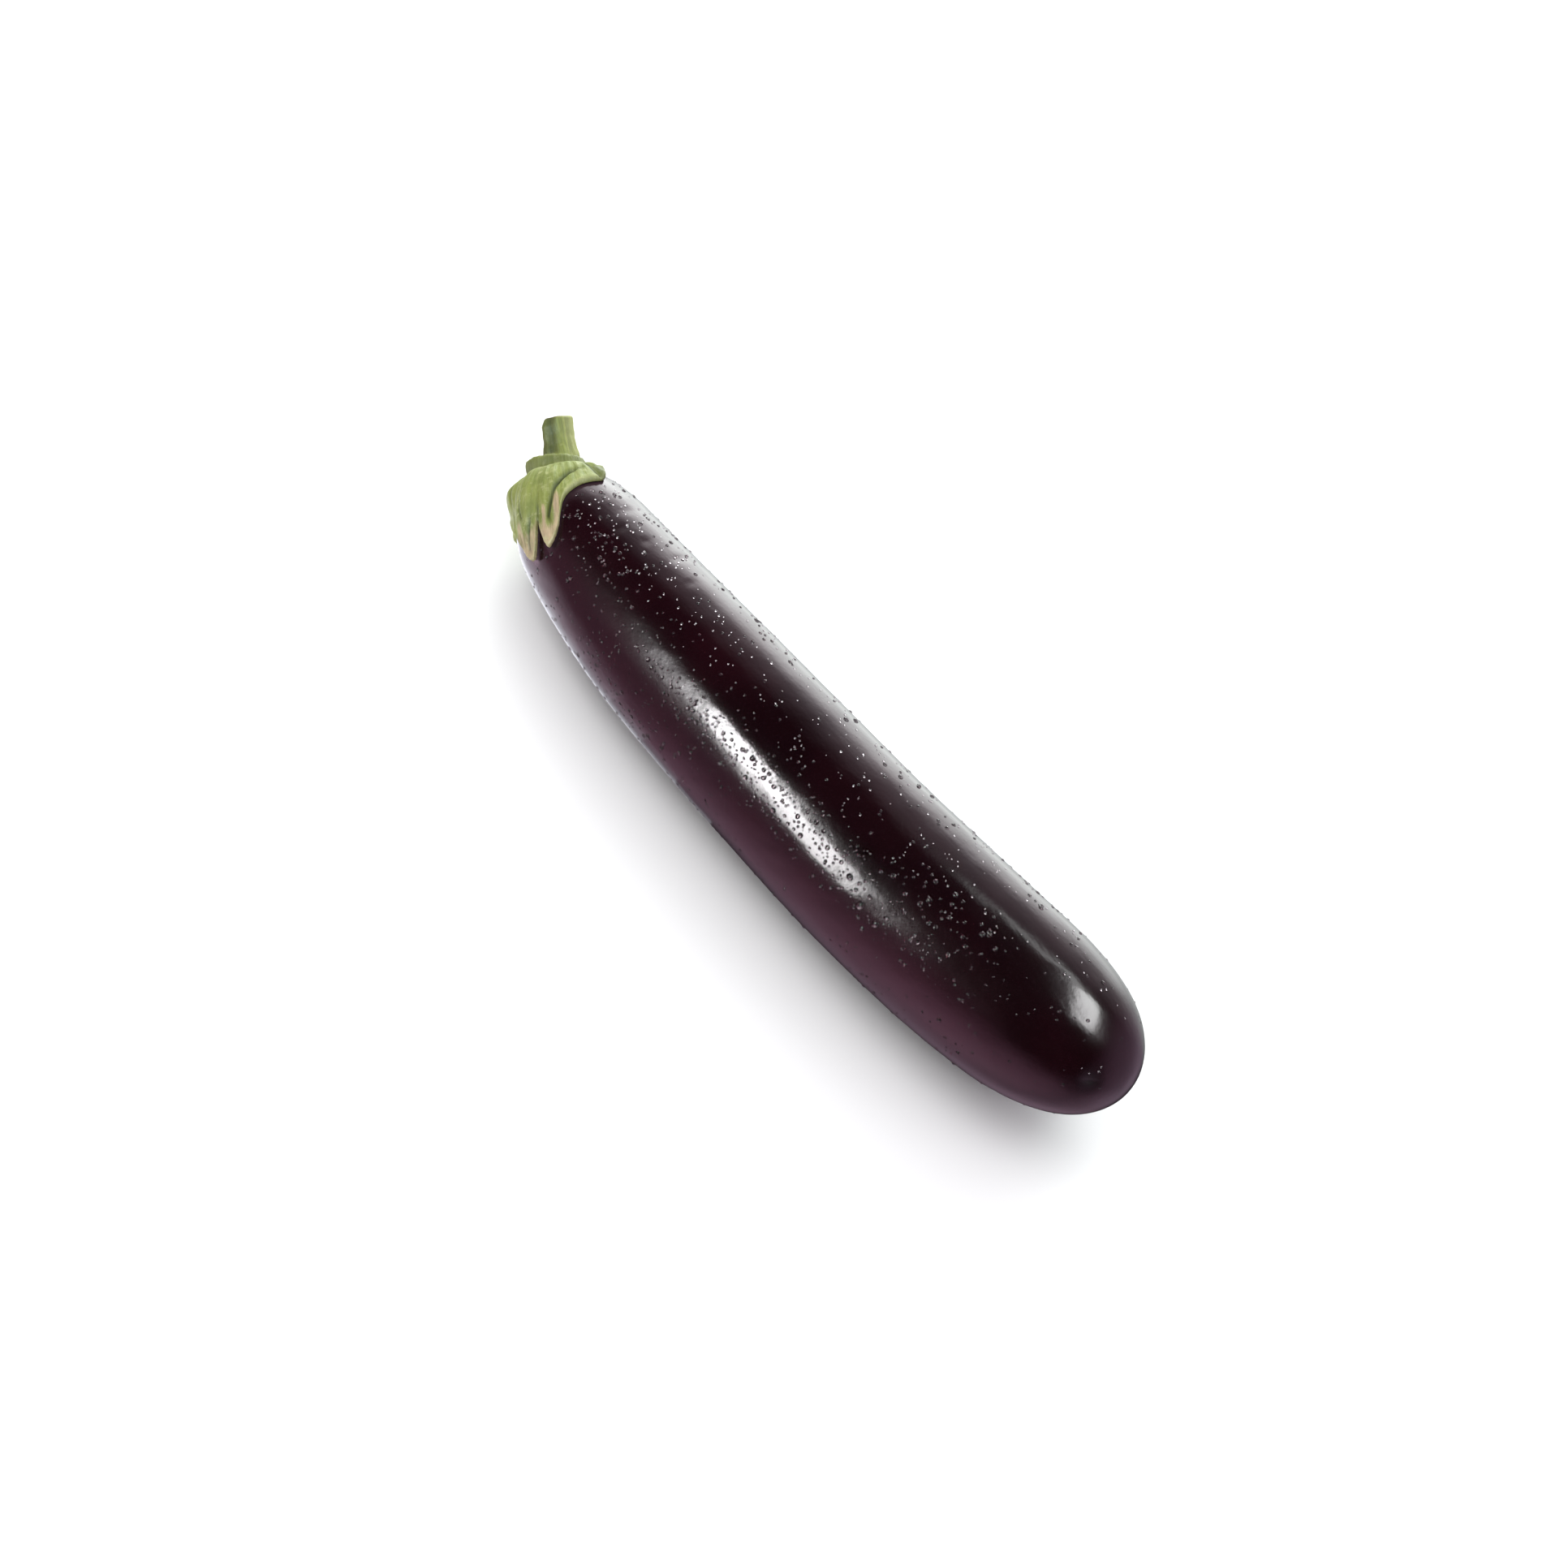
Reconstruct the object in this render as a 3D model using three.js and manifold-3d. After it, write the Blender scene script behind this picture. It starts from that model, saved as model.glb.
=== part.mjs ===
// A long, slender eggplant lying on its side, in millimetres, with +Z up and +X from stalk to blossom end.
// It is built from one bent axis. The fruit is a smooth body round that axis, with a small flat spot
// underneath. The calyx is the green cap of five sepals on its stem end, and the stalk is the cut, ribbed
// stem that stands on the cap's crown.

import * as THREE from 'three';
import { mergeVertices } from 'three/addons/utils/BufferGeometryUtils.js';
import Module from 'manifold-3d';

const wasm = await Module();
wasm.setup();

// ---------- Driving dimensions (mm and degrees) ----------

// Profile of the fruit: [place along the axis, radius], from the stem end to the blossom end.
const FRUIT_PROFILE = [
  [-116, 0], [-115.6, 4.5], [-114, 9.2], [-111.3, 13.2], [-107.3, 16.2], [-101, 18.6], [-90, 20.3],
  [-70, 22.3], [-50, 23.6], [-20, 24.7], [10, 25.3], [47, 25.8], [75, 25.5], [90, 24.5], [101, 22.2],
  [108.8, 19.2], [114.7, 15.3], [119, 10.5], [121.5, 5.3], [122.3, 0],
];

// Bends of the axis. Each is an offset that grows as a power of the distance from where it starts.
const STEM_BEND = { start: 0, offset: 5.8, over: 100, power: 3.75, side: [0, 1, 0] };
const NECK_BEND = { start: 95, offset: 7, over: 24, power: 2, side: [0, 0.73, 0.68] };
const BLOSSOM_BEND = { start: 0, offset: 9.4, over: 100, power: 2.3, side: [0, 1, 0] };
const TIP_BEND = { start: 85, offset: 6, over: 37, power: 2, side: [0, -0.68, 0.73] };
const REST_SLOPE = 0.0175; // the axis climbs this much per millimetre, so that the belly is level

// Flanks: very low ridges that run along the fruit and turn slowly round it.
const FLANKS = { count: 5, height: 0.16, twist: 0.9, phase: 0.6, rise: [-100, -40], fall: [60, 112] };

const FLAT_SPOT_DEPTH = 0.36; // how much the belly is flattened where the fruit lies
const BELLY_CUT = [400, 200, 40]; // block that cuts the flat spot, longer and wider than the fruit
const BLOSSOM_SCAR = { along: 112.5, angle: 151, radius: 2.9, depth: 0.9, towards: 92.5 };

// The cap is laid out round its own centre: "lean" is the angle from the crown's axis, and "turn" is the
// angle round that axis, from the top of the fruit.
const CROWN_AXIS = new THREE.Vector3(-0.825, 0.43, 0.367).normalize();
const CROWN_TOP = new THREE.Vector3(-119.4, 15.2, 2);
const CROWN_TOP_TO_CENTRE = 28;
// The crown is a low drum. Its top ends at this lean, further out and a little raised on one side, and its
// wall is narrow.
const CROWN_DRUM = { lean: 15.5, lopsided: 0.34, widestTurn: -85, wall: 4.5 };
const CROWN_SHOULDER = { height: 0.8, across: 55, rise: [9, 18] };
const CLEARANCE = 0.35; // gap between neighbouring pieces

// Edge of the cap: [turn, lean] at each tip, notch and corner, once round.
const CAP_EDGE = [
  // front sepal, split in two tips by a notch
  [-112, 54], [-104, 58], [-96, 64], [-88, 71], [-82, 77], [-76, 84], [-72, 90], [-68, 96], [-63.5, 101.5],
  [-59, 103], [-55.5, 97], [-53, 87], [-50.6, 75], [-48, 86], [-45.5, 93.5], [-43, 96.5], [-39.5, 94],
  [-36.5, 89], [-34, 82], [-32, 73], [-30, 66], [-27, 61], [-22, 57], [-14, 53], [-4, 51],
  // top sepal, short and rolled back
  [5, 50], [10, 47], [16, 40], [24, 33.5], [36, 28], [50, 26.5], [64, 25.5], [80, 26.8], [92, 32],
  // sepal at the back
  [99, 45], [106, 62], [113, 79], [120, 88], [126, 93], [132, 83], [142, 66],
  // sepal underneath
  [152, 50], [162, 67], [172, 84], [181, 92], [188, 81], [198, 64],
  // sepal between the underside and the front
  [208, 48], [218, 60], [228, 67], [235, 69], [241, 66], [246, 59],
];
const SEPAL_TURNS = [-66, 50, 124, 180, 234]; // middle of each sepal
const SEPAL_RIB = { height: 0.6, halfWidth: 9, fade: [0.6, 1] }; // low rib along the middle of each sepal

// Thickness at the foot of the crown, over the shoulder of the fruit and at the edge. It grows between
// two leans, and thins between two shares of the way to the edge.
const CAP_THICKNESS = { foot: 1.7, shoulder: 2.4, edge: 1.1, thicken: [20, 34], thin: [0.45, 1] };
// Puffed fold between two sepals.
const CAP_FOLD = { turn: -97, lean: 43, height: 2.6, across: 18, along: 10, fade: [0.8, 1] };
const ROLLED_SEPAL = { turn: 50, from: 17, to: 30, across: 26, lift: 0.4, extra: 1.5 };

// Stalk: it rises from the crown and bends a little on the way to its cut end.
const STALK_LENGTH = 13.9;
const STALK_RADIUS = { foot: 5.15, waist: 4.35, cut: 4.5, waistAt: 0.55 };
const STALK_OFF_CENTRE = 0.45; // towards the front sepal
const STALK_END_DIRECTION = new THREE.Vector3(-0.8, 0.29, 0.52).normalize();
const STALK_RIBS = { count: 5, height: 0.36 };
const STALK_CUT_BEVEL = 0.9;

// Fineness of the facets.
const FRUIT_ROWS = 62;
const FRUIT_ROW_CROWDING = 0.06; // how far the rows are drawn together towards both ends
const FRUIT_SIDES = 48;
const CAP_LEAF_ROWS = 8;
const CAP_ROWS_INSIDE = 11;
const CAP_STEP = { turn: 6, lean: 10 }; // widest steps along the cap's edge, in degrees
const STALK_SIDES = 25;
const STALK_ROWS = 7;
const CAP_DRUM_ROWS = [0.6, 1]; // places of the rows over the crown's top, as shares of its width
const CAP_WALL_ROWS = 4;

// Ranges that the halving searches start from.
const AXIS_SEARCH = [-140, 140]; // places along the fruit's axis
const SKIN_SEARCH = [5, 60]; // distances from the cap's centre

// ---------- Small helpers ----------

const UP = new THREE.Vector3(0, 0, 1);
const clamp01 = (value) => Math.min(1, Math.max(0, value));
const smooth = (from, to, value) => THREE.MathUtils.smoothstep(value, from, to);
const radians = THREE.MathUtils.degToRad;
const bump = (distance) => Math.exp(-distance * distance);

function turnGap(a, b) {
  return ((a - b + 540) % 360) - 180;
}

// A closed body from rings of points, with one point at each end. Rings run along the body, and each ring
// is counted anticlockwise as seen from the last ring's end.
function bodyFromRings(firstPoint, rings, lastPoint) {
  const sides = rings[0].length;
  const points = [firstPoint, ...rings.flat(), lastPoint];
  const ringStart = (ring) => 1 + ring * sides;
  const last = points.length - 1;
  const faces = [];
  for (let side = 0; side < sides; side += 1) {
    const next = (side + 1) % sides;
    faces.push(0, ringStart(0) + next, ringStart(0) + side);
    for (let ring = 0; ring + 1 < rings.length; ring += 1) {
      const a = ringStart(ring) + side;
      const b = ringStart(ring) + next;
      const c = ringStart(ring + 1) + next;
      const d = ringStart(ring + 1) + side;
      faces.push(a, b, c, a, c, d);
    }
    faces.push(ringStart(rings.length - 1) + side, ringStart(rings.length - 1) + next, last);
  }
  const geometry = new THREE.BufferGeometry();
  geometry.setFromPoints(points);
  geometry.setIndex(faces);
  return geometry;
}

function toSolid(geometry) {
  const bare = geometry.clone();
  bare.deleteAttribute('normal');
  bare.deleteAttribute('uv');
  const merged = mergeVertices(bare);
  const vertProperties = new Float32Array(merged.attributes.position.array);
  const triVerts = new Uint32Array(merged.index.array);
  return new wasm.Manifold(new wasm.Mesh({ numProp: 3, vertProperties, triVerts }));
}

function toGeometry(solid) {
  const mesh = solid.getMesh();
  const geometry = new THREE.BufferGeometry();
  geometry.setAttribute('position', new THREE.BufferAttribute(new Float32Array(mesh.vertProperties), 3));
  geometry.setIndex(new THREE.BufferAttribute(new Uint32Array(mesh.triVerts), 1));
  return geometry;
}

function namedMesh(name, geometry, finish) {
  geometry.computeVertexNormals();
  const mesh = new THREE.Mesh(geometry, new THREE.MeshStandardMaterial(finish));
  mesh.name = name;
  return mesh;
}

// ---------- The fruit's axis and profile ----------

function bendOffset(bend, distance) {
  const beyond = Math.max(0, distance - bend.start) / bend.over;
  const side = new THREE.Vector3(...bend.side).normalize();
  return side.multiplyScalar(bend.offset * beyond ** bend.power);
}

function axisPoint(along) {
  const bends = along < 0 ? [STEM_BEND, NECK_BEND] : [BLOSSOM_BEND, TIP_BEND];
  const point = new THREE.Vector3(along, 0, REST_SLOPE * along);
  bends.forEach((bend) => point.add(bendOffset(bend, Math.abs(along))));
  return point;
}

function axisDirection(along) {
  const halfStep = 0.05;
  return axisPoint(along + halfStep).sub(axisPoint(along - halfStep)).normalize();
}

const profileCurve = new THREE.CatmullRomCurve3(
  FRUIT_PROFILE.map(([along, radius]) => new THREE.Vector3(along, radius, 0)),
  false,
  'centripetal',
);
const PROFILE_SAMPLES = profileCurve.getSpacedPoints(600);

function fruitRadius(along) {
  const next = PROFILE_SAMPLES.findIndex((sample) => sample.x > along);
  if (next < 1) return 0;
  const a = PROFILE_SAMPLES[next - 1];
  const b = PROFILE_SAMPLES[next];
  return a.y + ((b.y - a.y) * (along - a.x)) / (b.x - a.x);
}

// How far a point stands outside the fruit's skin; it is negative inside.
function outsideFruit(point) {
  let [low, high] = AXIS_SEARCH;
  for (let step = 0; step < 30; step += 1) {
    const middle = (low + high) / 2;
    const ahead = point.clone().sub(axisPoint(middle)).dot(axisDirection(middle));
    if (ahead > 0) low = middle;
    else high = middle;
  }
  return point.distanceTo(axisPoint(low)) - fruitRadius(low);
}

// ---------- The fruit ----------

function fruitSkinPoint(along, radius, angle) {
  const direction = axisDirection(along);
  const sideways = UP.clone().cross(direction).normalize();
  const upwards = direction.clone().cross(sideways);
  const body = smooth(...FLANKS.rise, along) * (1 - smooth(...FLANKS.fall, along));
  const turning = FLANKS.count * angle + FLANKS.phase + FLANKS.twist * (along / 100);
  const swollen = radius + FLANKS.height * body * Math.cos(turning);
  return axisPoint(along)
    .addScaledVector(sideways, swollen * Math.cos(angle))
    .addScaledVector(upwards, swollen * Math.sin(angle));
}

function blossomScarCentre() {
  const radius = fruitRadius(BLOSSOM_SCAR.along);
  return fruitSkinPoint(BLOSSOM_SCAR.along, radius, radians(BLOSSOM_SCAR.angle));
}

function makeFruit() {
  const scar = blossomScarCentre();
  const inwards = axisPoint(BLOSSOM_SCAR.towards).sub(scar).normalize();
  const rings = [];
  for (let row = 1; row < FRUIT_ROWS; row += 1) {
    const even = row / FRUIT_ROWS;
    const crowded = even - (FRUIT_ROW_CROWDING / 2) * Math.sin(4 * Math.PI * even);
    const place = profileCurve.getPointAt(crowded);
    const ring = [];
    for (let side = 0; side < FRUIT_SIDES; side += 1) {
      const point = fruitSkinPoint(place.x, place.y, (2 * Math.PI * side) / FRUIT_SIDES);
      const dent = BLOSSOM_SCAR.depth * bump(point.distanceTo(scar) / BLOSSOM_SCAR.radius);
      ring.push(point.addScaledVector(inwards, dent));
    }
    rings.push(ring);
  }
  const ends = [FRUIT_PROFILE[0][0], FRUIT_PROFILE[FRUIT_PROFILE.length - 1][0]].map(axisPoint);
  const whole = toSolid(bodyFromRings(ends[0], rings, ends[1]));

  // The belly is cut level, a little above its lowest point.
  const lowest = Math.min(...rings.flat().map((point) => point.z));
  const slab = new THREE.BoxGeometry(...BELLY_CUT);
  slab.translate(0, 0, lowest + FLAT_SPOT_DEPTH - BELLY_CUT[2] / 2);
  return toGeometry(whole.subtract(toSolid(slab)));
}

// ---------- The calyx ----------

const capUp = UP.clone().addScaledVector(CROWN_AXIS, -CROWN_AXIS.z).normalize();
const capAcross = CROWN_AXIS.clone().cross(capUp);
const capCentre = CROWN_TOP.clone().addScaledVector(CROWN_AXIS, -CROWN_TOP_TO_CENTRE);

function capRay(turn, lean) {
  const outwards = Math.sin(radians(lean));
  return CROWN_AXIS.clone()
    .multiplyScalar(Math.cos(radians(lean)))
    .addScaledVector(capUp, outwards * Math.cos(radians(turn)))
    .addScaledVector(capAcross, outwards * Math.sin(radians(turn)));
}

function skinDistance(ray) {
  let [low, high] = SKIN_SEARCH;
  for (let step = 0; step < 26; step += 1) {
    const middle = (low + high) / 2;
    if (outsideFruit(capCentre.clone().addScaledVector(ray, middle)) < 0) low = middle;
    else high = middle;
  }
  return low;
}

// Lift of the rolled sepal off the skin, as a share of its full lift.
function rolledShare(turn, lean) {
  const across = bump(turnGap(turn, ROLLED_SEPAL.turn) / ROLLED_SEPAL.across);
  return across * smooth(ROLLED_SEPAL.from, ROLLED_SEPAL.to, lean);
}

function crownLean(turn) {
  const swing = Math.cos(radians(turn - CROWN_DRUM.widestTurn));
  return CROWN_DRUM.lean * (1 + CROWN_DRUM.lopsided * swing);
}

function capThickness(turn, lean, edgeLean) {
  const { foot, shoulder, edge, thicken, thin } = CAP_THICKNESS;
  const toEdge = clamp01(lean / edgeLean);
  const inner = THREE.MathUtils.lerp(foot, shoulder, smooth(...thicken, lean));
  const plain = THREE.MathUtils.lerp(inner, edge, smooth(...thin, toEdge));
  const ribs = SEPAL_TURNS.map((middle) => bump(turnGap(turn, middle) / SEPAL_RIB.halfWidth));
  const rib = SEPAL_RIB.height * Math.max(...ribs) * (1 - smooth(...SEPAL_RIB.fade, toEdge));
  const foldAcross = turnGap(turn, CAP_FOLD.turn) / CAP_FOLD.across;
  const foldAlong = (lean - CAP_FOLD.lean) / CAP_FOLD.along;
  const fold = CAP_FOLD.height * bump(Math.hypot(foldAcross, foldAlong));
  const rolled = ROLLED_SEPAL.extra * rolledShare(turn, lean);
  return plain + rib + fold * (1 - smooth(...CAP_FOLD.fade, toEdge)) + rolled;
}

function capOutside(turn, lean, edgeLean) {
  const ray = capRay(turn, lean);
  const lift = CLEARANCE + ROLLED_SEPAL.lift * rolledShare(turn, lean);
  const leaf = skinDistance(ray) + lift + capThickness(turn, lean, edgeLean);
  const drumEnd = crownLean(turn);
  const wallEnd = drumEnd + CROWN_DRUM.wall;
  const shoulder = CROWN_SHOULDER.height
    * bump(turnGap(turn, CROWN_DRUM.widestTurn) / CROWN_SHOULDER.across)
    * smooth(...CROWN_SHOULDER.rise, lean);
  const drumTop = (CROWN_TOP_TO_CENTRE + shoulder) / Math.cos(radians(Math.min(lean, wallEnd)));
  const distance = THREE.MathUtils.lerp(drumTop, leaf, smooth(drumEnd, wallEnd, lean));
  return capCentre.clone().addScaledVector(ray, distance);
}

function capInside(turn, lean) {
  const ray = capRay(turn, lean);
  const lift = CLEARANCE + ROLLED_SEPAL.lift * rolledShare(turn, lean);
  return capCentre.clone().addScaledVector(ray, skinDistance(ray) + lift);
}

// Leans of the rows on the outside: over the drum's top, down its wall, then out to the edge.
function outsideLeans(turn, edgeLean) {
  const drumEnd = crownLean(turn);
  const wallEnd = drumEnd + CROWN_DRUM.wall;
  const drumRows = CAP_DRUM_ROWS.map((share) => drumEnd * share);
  const wallRows = [];
  for (let row = 1; row <= CAP_WALL_ROWS; row += 1) {
    wallRows.push(drumEnd + (CROWN_DRUM.wall * row) / CAP_WALL_ROWS);
  }
  const leafRows = [];
  for (let row = 1; row <= CAP_LEAF_ROWS; row += 1) {
    leafRows.push(THREE.MathUtils.lerp(wallEnd, edgeLean, row / CAP_LEAF_ROWS));
  }
  return [...drumRows, ...wallRows, ...leafRows];
}

// Places round the cap: every corner of its edge, and even steps between them.
function capEdgePlaces() {
  const places = [];
  CAP_EDGE.forEach(([turn, lean], corner) => {
    const [nextTurn, nextLean] = CAP_EDGE[(corner + 1) % CAP_EDGE.length];
    const gap = (nextTurn - turn + 360) % 360;
    const steps = Math.ceil(Math.max(gap / CAP_STEP.turn, Math.abs(nextLean - lean) / CAP_STEP.lean));
    for (let step = 0; step < steps; step += 1) {
      const share = step / steps;
      places.push([turn + gap * share, THREE.MathUtils.lerp(lean, nextLean, share)]);
    }
  });
  return places;
}

function makeCalyx() {
  const places = capEdgePlaces();
  const rings = [];
  for (let row = 1; row <= CAP_ROWS_INSIDE; row += 1) {
    const share = row / CAP_ROWS_INSIDE;
    rings.push(places.map(([turn, edge]) => capInside(turn, edge * share)));
  }
  const leans = places.map(([turn, edge]) => outsideLeans(turn, edge));
  for (let row = leans[0].length - 1; row >= 0; row -= 1) {
    rings.push(places.map(([turn, edge], place) => capOutside(turn, leans[place][row], edge)));
  }
  return bodyFromRings(capInside(0, 0), rings, capOutside(0, 0, 1));
}

// ---------- The stalk ----------

function stalkRadius(share) {
  const { foot, waist, cut, waistAt } = STALK_RADIUS;
  return share < waistAt
    ? THREE.MathUtils.lerp(foot, waist, smooth(0, waistAt, share))
    : THREE.MathUtils.lerp(waist, cut, smooth(waistAt, 1, share));
}

function makeStalk() {
  const foot = CROWN_TOP.clone()
    .addScaledVector(CROWN_AXIS, CLEARANCE)
    .addScaledVector(capAcross, -STALK_OFF_CENTRE);
  const bendPoint = foot.clone().addScaledVector(CROWN_AXIS, STALK_LENGTH / 2);
  const cut = bendPoint.clone().addScaledVector(STALK_END_DIRECTION, STALK_LENGTH / 2);
  const line = new THREE.QuadraticBezierCurve3(foot, bendPoint, cut);

  const ringAt = (share, radius) => {
    const direction = line.getTangent(share);
    const sideways = capUp.clone().cross(direction).normalize();
    const upwards = direction.clone().cross(sideways);
    const ring = [];
    for (let side = 0; side < STALK_SIDES; side += 1) {
      const angle = (2 * Math.PI * side) / STALK_SIDES;
      const ribbed = radius + STALK_RIBS.height * Math.cos(STALK_RIBS.count * angle);
      ring.push(
        line.getPoint(share)
          .addScaledVector(sideways, ribbed * Math.cos(angle))
          .addScaledVector(upwards, ribbed * Math.sin(angle)),
      );
    }
    return ring;
  };

  const rings = [];
  const bevelShare = STALK_CUT_BEVEL / STALK_LENGTH;
  for (let row = 0; row <= STALK_ROWS; row += 1) {
    const share = (1 - bevelShare) * (row / STALK_ROWS);
    rings.push(ringAt(share, stalkRadius(share)));
  }
  rings.push(ringAt(1, stalkRadius(1) - STALK_CUT_BEVEL));
  return bodyFromRings(line.getPoint(0), rings, line.getPoint(1));
}

// ---------- The whole eggplant ----------

const SKIN_FINISH = { color: 0x23101a, roughness: 0.22, metalness: 0 };
const CAP_FINISH = { color: 0x98a165, roughness: 0.6, metalness: 0 };
const STALK_FINISH = { color: 0x97a061, roughness: 0.65, metalness: 0 };

const eggplant = new THREE.Group();
eggplant.add(namedMesh('fruit', makeFruit(), SKIN_FINISH));
eggplant.add(namedMesh('calyx', makeCalyx(), CAP_FINISH));
eggplant.add(namedMesh('stalk', makeStalk(), STALK_FINISH));

// The origin is under the middle of the whole, on the surface that it lies on.
const extent = new THREE.Box3().setFromObject(eggplant);
const middle = extent.getCenter(new THREE.Vector3());
eggplant.position.set(-middle.x, -middle.y, -extent.min.z);

export default eggplant;
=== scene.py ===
"""Dresses the eggplant: a finely shaped fruit, calyx and stalk, water drops, and a plain pale studio."""
import functools
import math

import bpy
import numpy as np
from bpy.props import FloatProperty, FloatVectorProperty, IntProperty, PointerProperty
from mathutils import Matrix, Vector


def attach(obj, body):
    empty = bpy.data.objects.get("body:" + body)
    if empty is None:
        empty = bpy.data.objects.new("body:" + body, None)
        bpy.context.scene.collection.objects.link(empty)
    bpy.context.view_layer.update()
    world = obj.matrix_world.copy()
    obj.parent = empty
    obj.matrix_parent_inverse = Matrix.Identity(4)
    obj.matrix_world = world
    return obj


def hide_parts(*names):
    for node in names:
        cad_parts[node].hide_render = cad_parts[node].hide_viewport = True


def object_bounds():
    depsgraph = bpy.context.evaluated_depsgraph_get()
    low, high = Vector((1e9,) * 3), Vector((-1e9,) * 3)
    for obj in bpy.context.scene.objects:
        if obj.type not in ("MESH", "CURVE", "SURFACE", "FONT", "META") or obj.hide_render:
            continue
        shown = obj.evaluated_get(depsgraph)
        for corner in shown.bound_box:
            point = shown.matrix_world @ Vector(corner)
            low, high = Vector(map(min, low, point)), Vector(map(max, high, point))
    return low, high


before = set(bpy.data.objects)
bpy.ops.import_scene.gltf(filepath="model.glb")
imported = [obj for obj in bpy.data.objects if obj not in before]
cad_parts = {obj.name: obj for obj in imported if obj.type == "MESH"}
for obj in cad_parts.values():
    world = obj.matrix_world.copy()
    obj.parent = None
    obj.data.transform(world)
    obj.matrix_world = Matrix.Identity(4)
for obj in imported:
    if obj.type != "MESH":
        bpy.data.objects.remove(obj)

CAD_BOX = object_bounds()

bl_info = {
    "name": "Eggplant",
    "version": (1, 0, 0),
    "blender": (4, 5, 0),
    "location": "3D View > Sidebar > Eggplant",
    "description": "A long, wet eggplant with its calyx and stalk, in a plain studio",
    "category": "Object",
}

# ---------- Sizes shared with the solids, in millimetres and degrees ----------

MM = 0.001
AXIS_MIDDLE = np.array([5.3015, -3.1895, 24.8759])  # where the middle of the fruit's axis stands

# Profile of the fruit: (place along the axis, radius), from the stem end to the blossom end.
FRUIT_PROFILE = [
    (-116, 0), (-115.6, 4.5), (-114, 9.2), (-111.3, 13.2), (-107.3, 16.2), (-101, 18.6), (-90, 20.3),
    (-70, 22.3), (-50, 23.6), (-20, 24.7), (10, 25.3), (47, 25.8), (75, 25.5), (90, 24.5), (101, 22.2),
    (108.8, 19.2), (114.7, 15.3), (119, 10.5), (121.5, 5.3), (122.3, 0),
]
# Bends of the axis: an offset that grows as a power of the distance from where it starts.
STEM_BEND = {"start": 0, "offset": 5.8, "over": 100, "power": 3.75, "side": (0, 1, 0)}
NECK_BEND = {"start": 95, "offset": 7, "over": 24, "power": 2, "side": (0, 0.73, 0.68)}
BLOSSOM_BEND = {"start": 0, "offset": 9.4, "over": 100, "power": 2.3, "side": (0, 1, 0)}
TIP_BEND = {"start": 85, "offset": 6, "over": 37, "power": 2, "side": (0, -0.68, 0.73)}
REST_SLOPE = 0.0175
FLANKS = {"count": 5, "height": 0.16, "twist": 0.9, "phase": 0.6, "rise": (-100, -40), "fall": (60, 112)}
FLAT_SPOT_DEPTH = 0.36

# The cap is laid out round its own centre: "lean" is the angle from the crown's axis, and "turn" the
# angle round that axis from the top of the fruit.
CROWN_AXIS = np.array([-0.825, 0.43, 0.367]) / np.linalg.norm([-0.825, 0.43, 0.367])
CROWN_TOP = AXIS_MIDDLE + (-119.4, 15.2, 2)
CROWN_TOP_TO_CENTRE = 28
CROWN_DRUM = {"lean": 15.5, "lopsided": 0.34, "widest_turn": -85, "wall": 4.5}
CROWN_SHOULDER = {"height": 0.8, "across": 55, "rise": (9, 18)}
CLEARANCE = 0.35
AXIS_SEARCH = (-140.0, 140.0, 30)  # from, to, and how often the span is halved
SKIN_SEARCH = (5.0, 60.0, 24)
CAP_EDGE = [
    # front sepal, split in two tips by a notch
    (-112, 54), (-104, 58), (-96, 64), (-88, 71), (-82, 77), (-76, 84), (-72, 90), (-68, 96), (-63.5, 101.5),
    (-59, 103), (-55.5, 97), (-53, 87), (-50.6, 75), (-48, 86), (-45.5, 93.5), (-43, 96.5), (-39.5, 94),
    (-36.5, 89), (-34, 82), (-32, 73), (-30, 66), (-27, 61), (-22, 57), (-14, 53), (-4, 51),
    # top sepal, short and rolled back
    (5, 50), (10, 47), (16, 40), (24, 33.5), (36, 28), (50, 26.5), (64, 25.5), (80, 26.8), (92, 32),
    # sepal at the back
    (99, 45), (106, 62), (113, 79), (120, 88), (126, 93), (132, 83), (142, 66),
    # sepal underneath
    (152, 50), (162, 67), (172, 84), (181, 92), (188, 81), (198, 64),
    # sepal between the underside and the front
    (208, 48), (218, 60), (228, 67), (235, 69), (241, 66), (246, 59),
]
SEPAL_TURNS = (-66, 50, 124, 180, 234)
SEPAL_RIB = {"height": 0.6, "half_width": 9, "fade": (0.6, 1)}
CAP_THICKNESS = {"foot": 1.7, "shoulder": 2.4, "edge": 1.1, "thicken": (20, 34), "thin": (0.45, 1)}
CAP_FOLD = {"turn": -97, "lean": 43, "height": 2.6, "across": 18, "along": 10, "fade": (0.8, 1)}
ROLLED_SEPAL = {"turn": 50, "from": 17, "to": 30, "across": 26, "lift": 0.4, "extra": 1.5}

STALK_LENGTH = 13.9
STALK_RADIUS = {"foot": 5.15, "waist": 4.35, "cut": 4.5, "waist_at": 0.55}
STALK_OFF_CENTRE = 0.45  # towards the front sepal
STALK_END_DIRECTION = np.array([-0.8, 0.29, 0.52]) / np.linalg.norm([-0.8, 0.29, 0.52])
STALK_RIBS = {"count": 5, "height": 0.36}
STALK_CUT_BEVEL = 0.9

# ---------- Fine shapes that only this dressing has ----------

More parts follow.
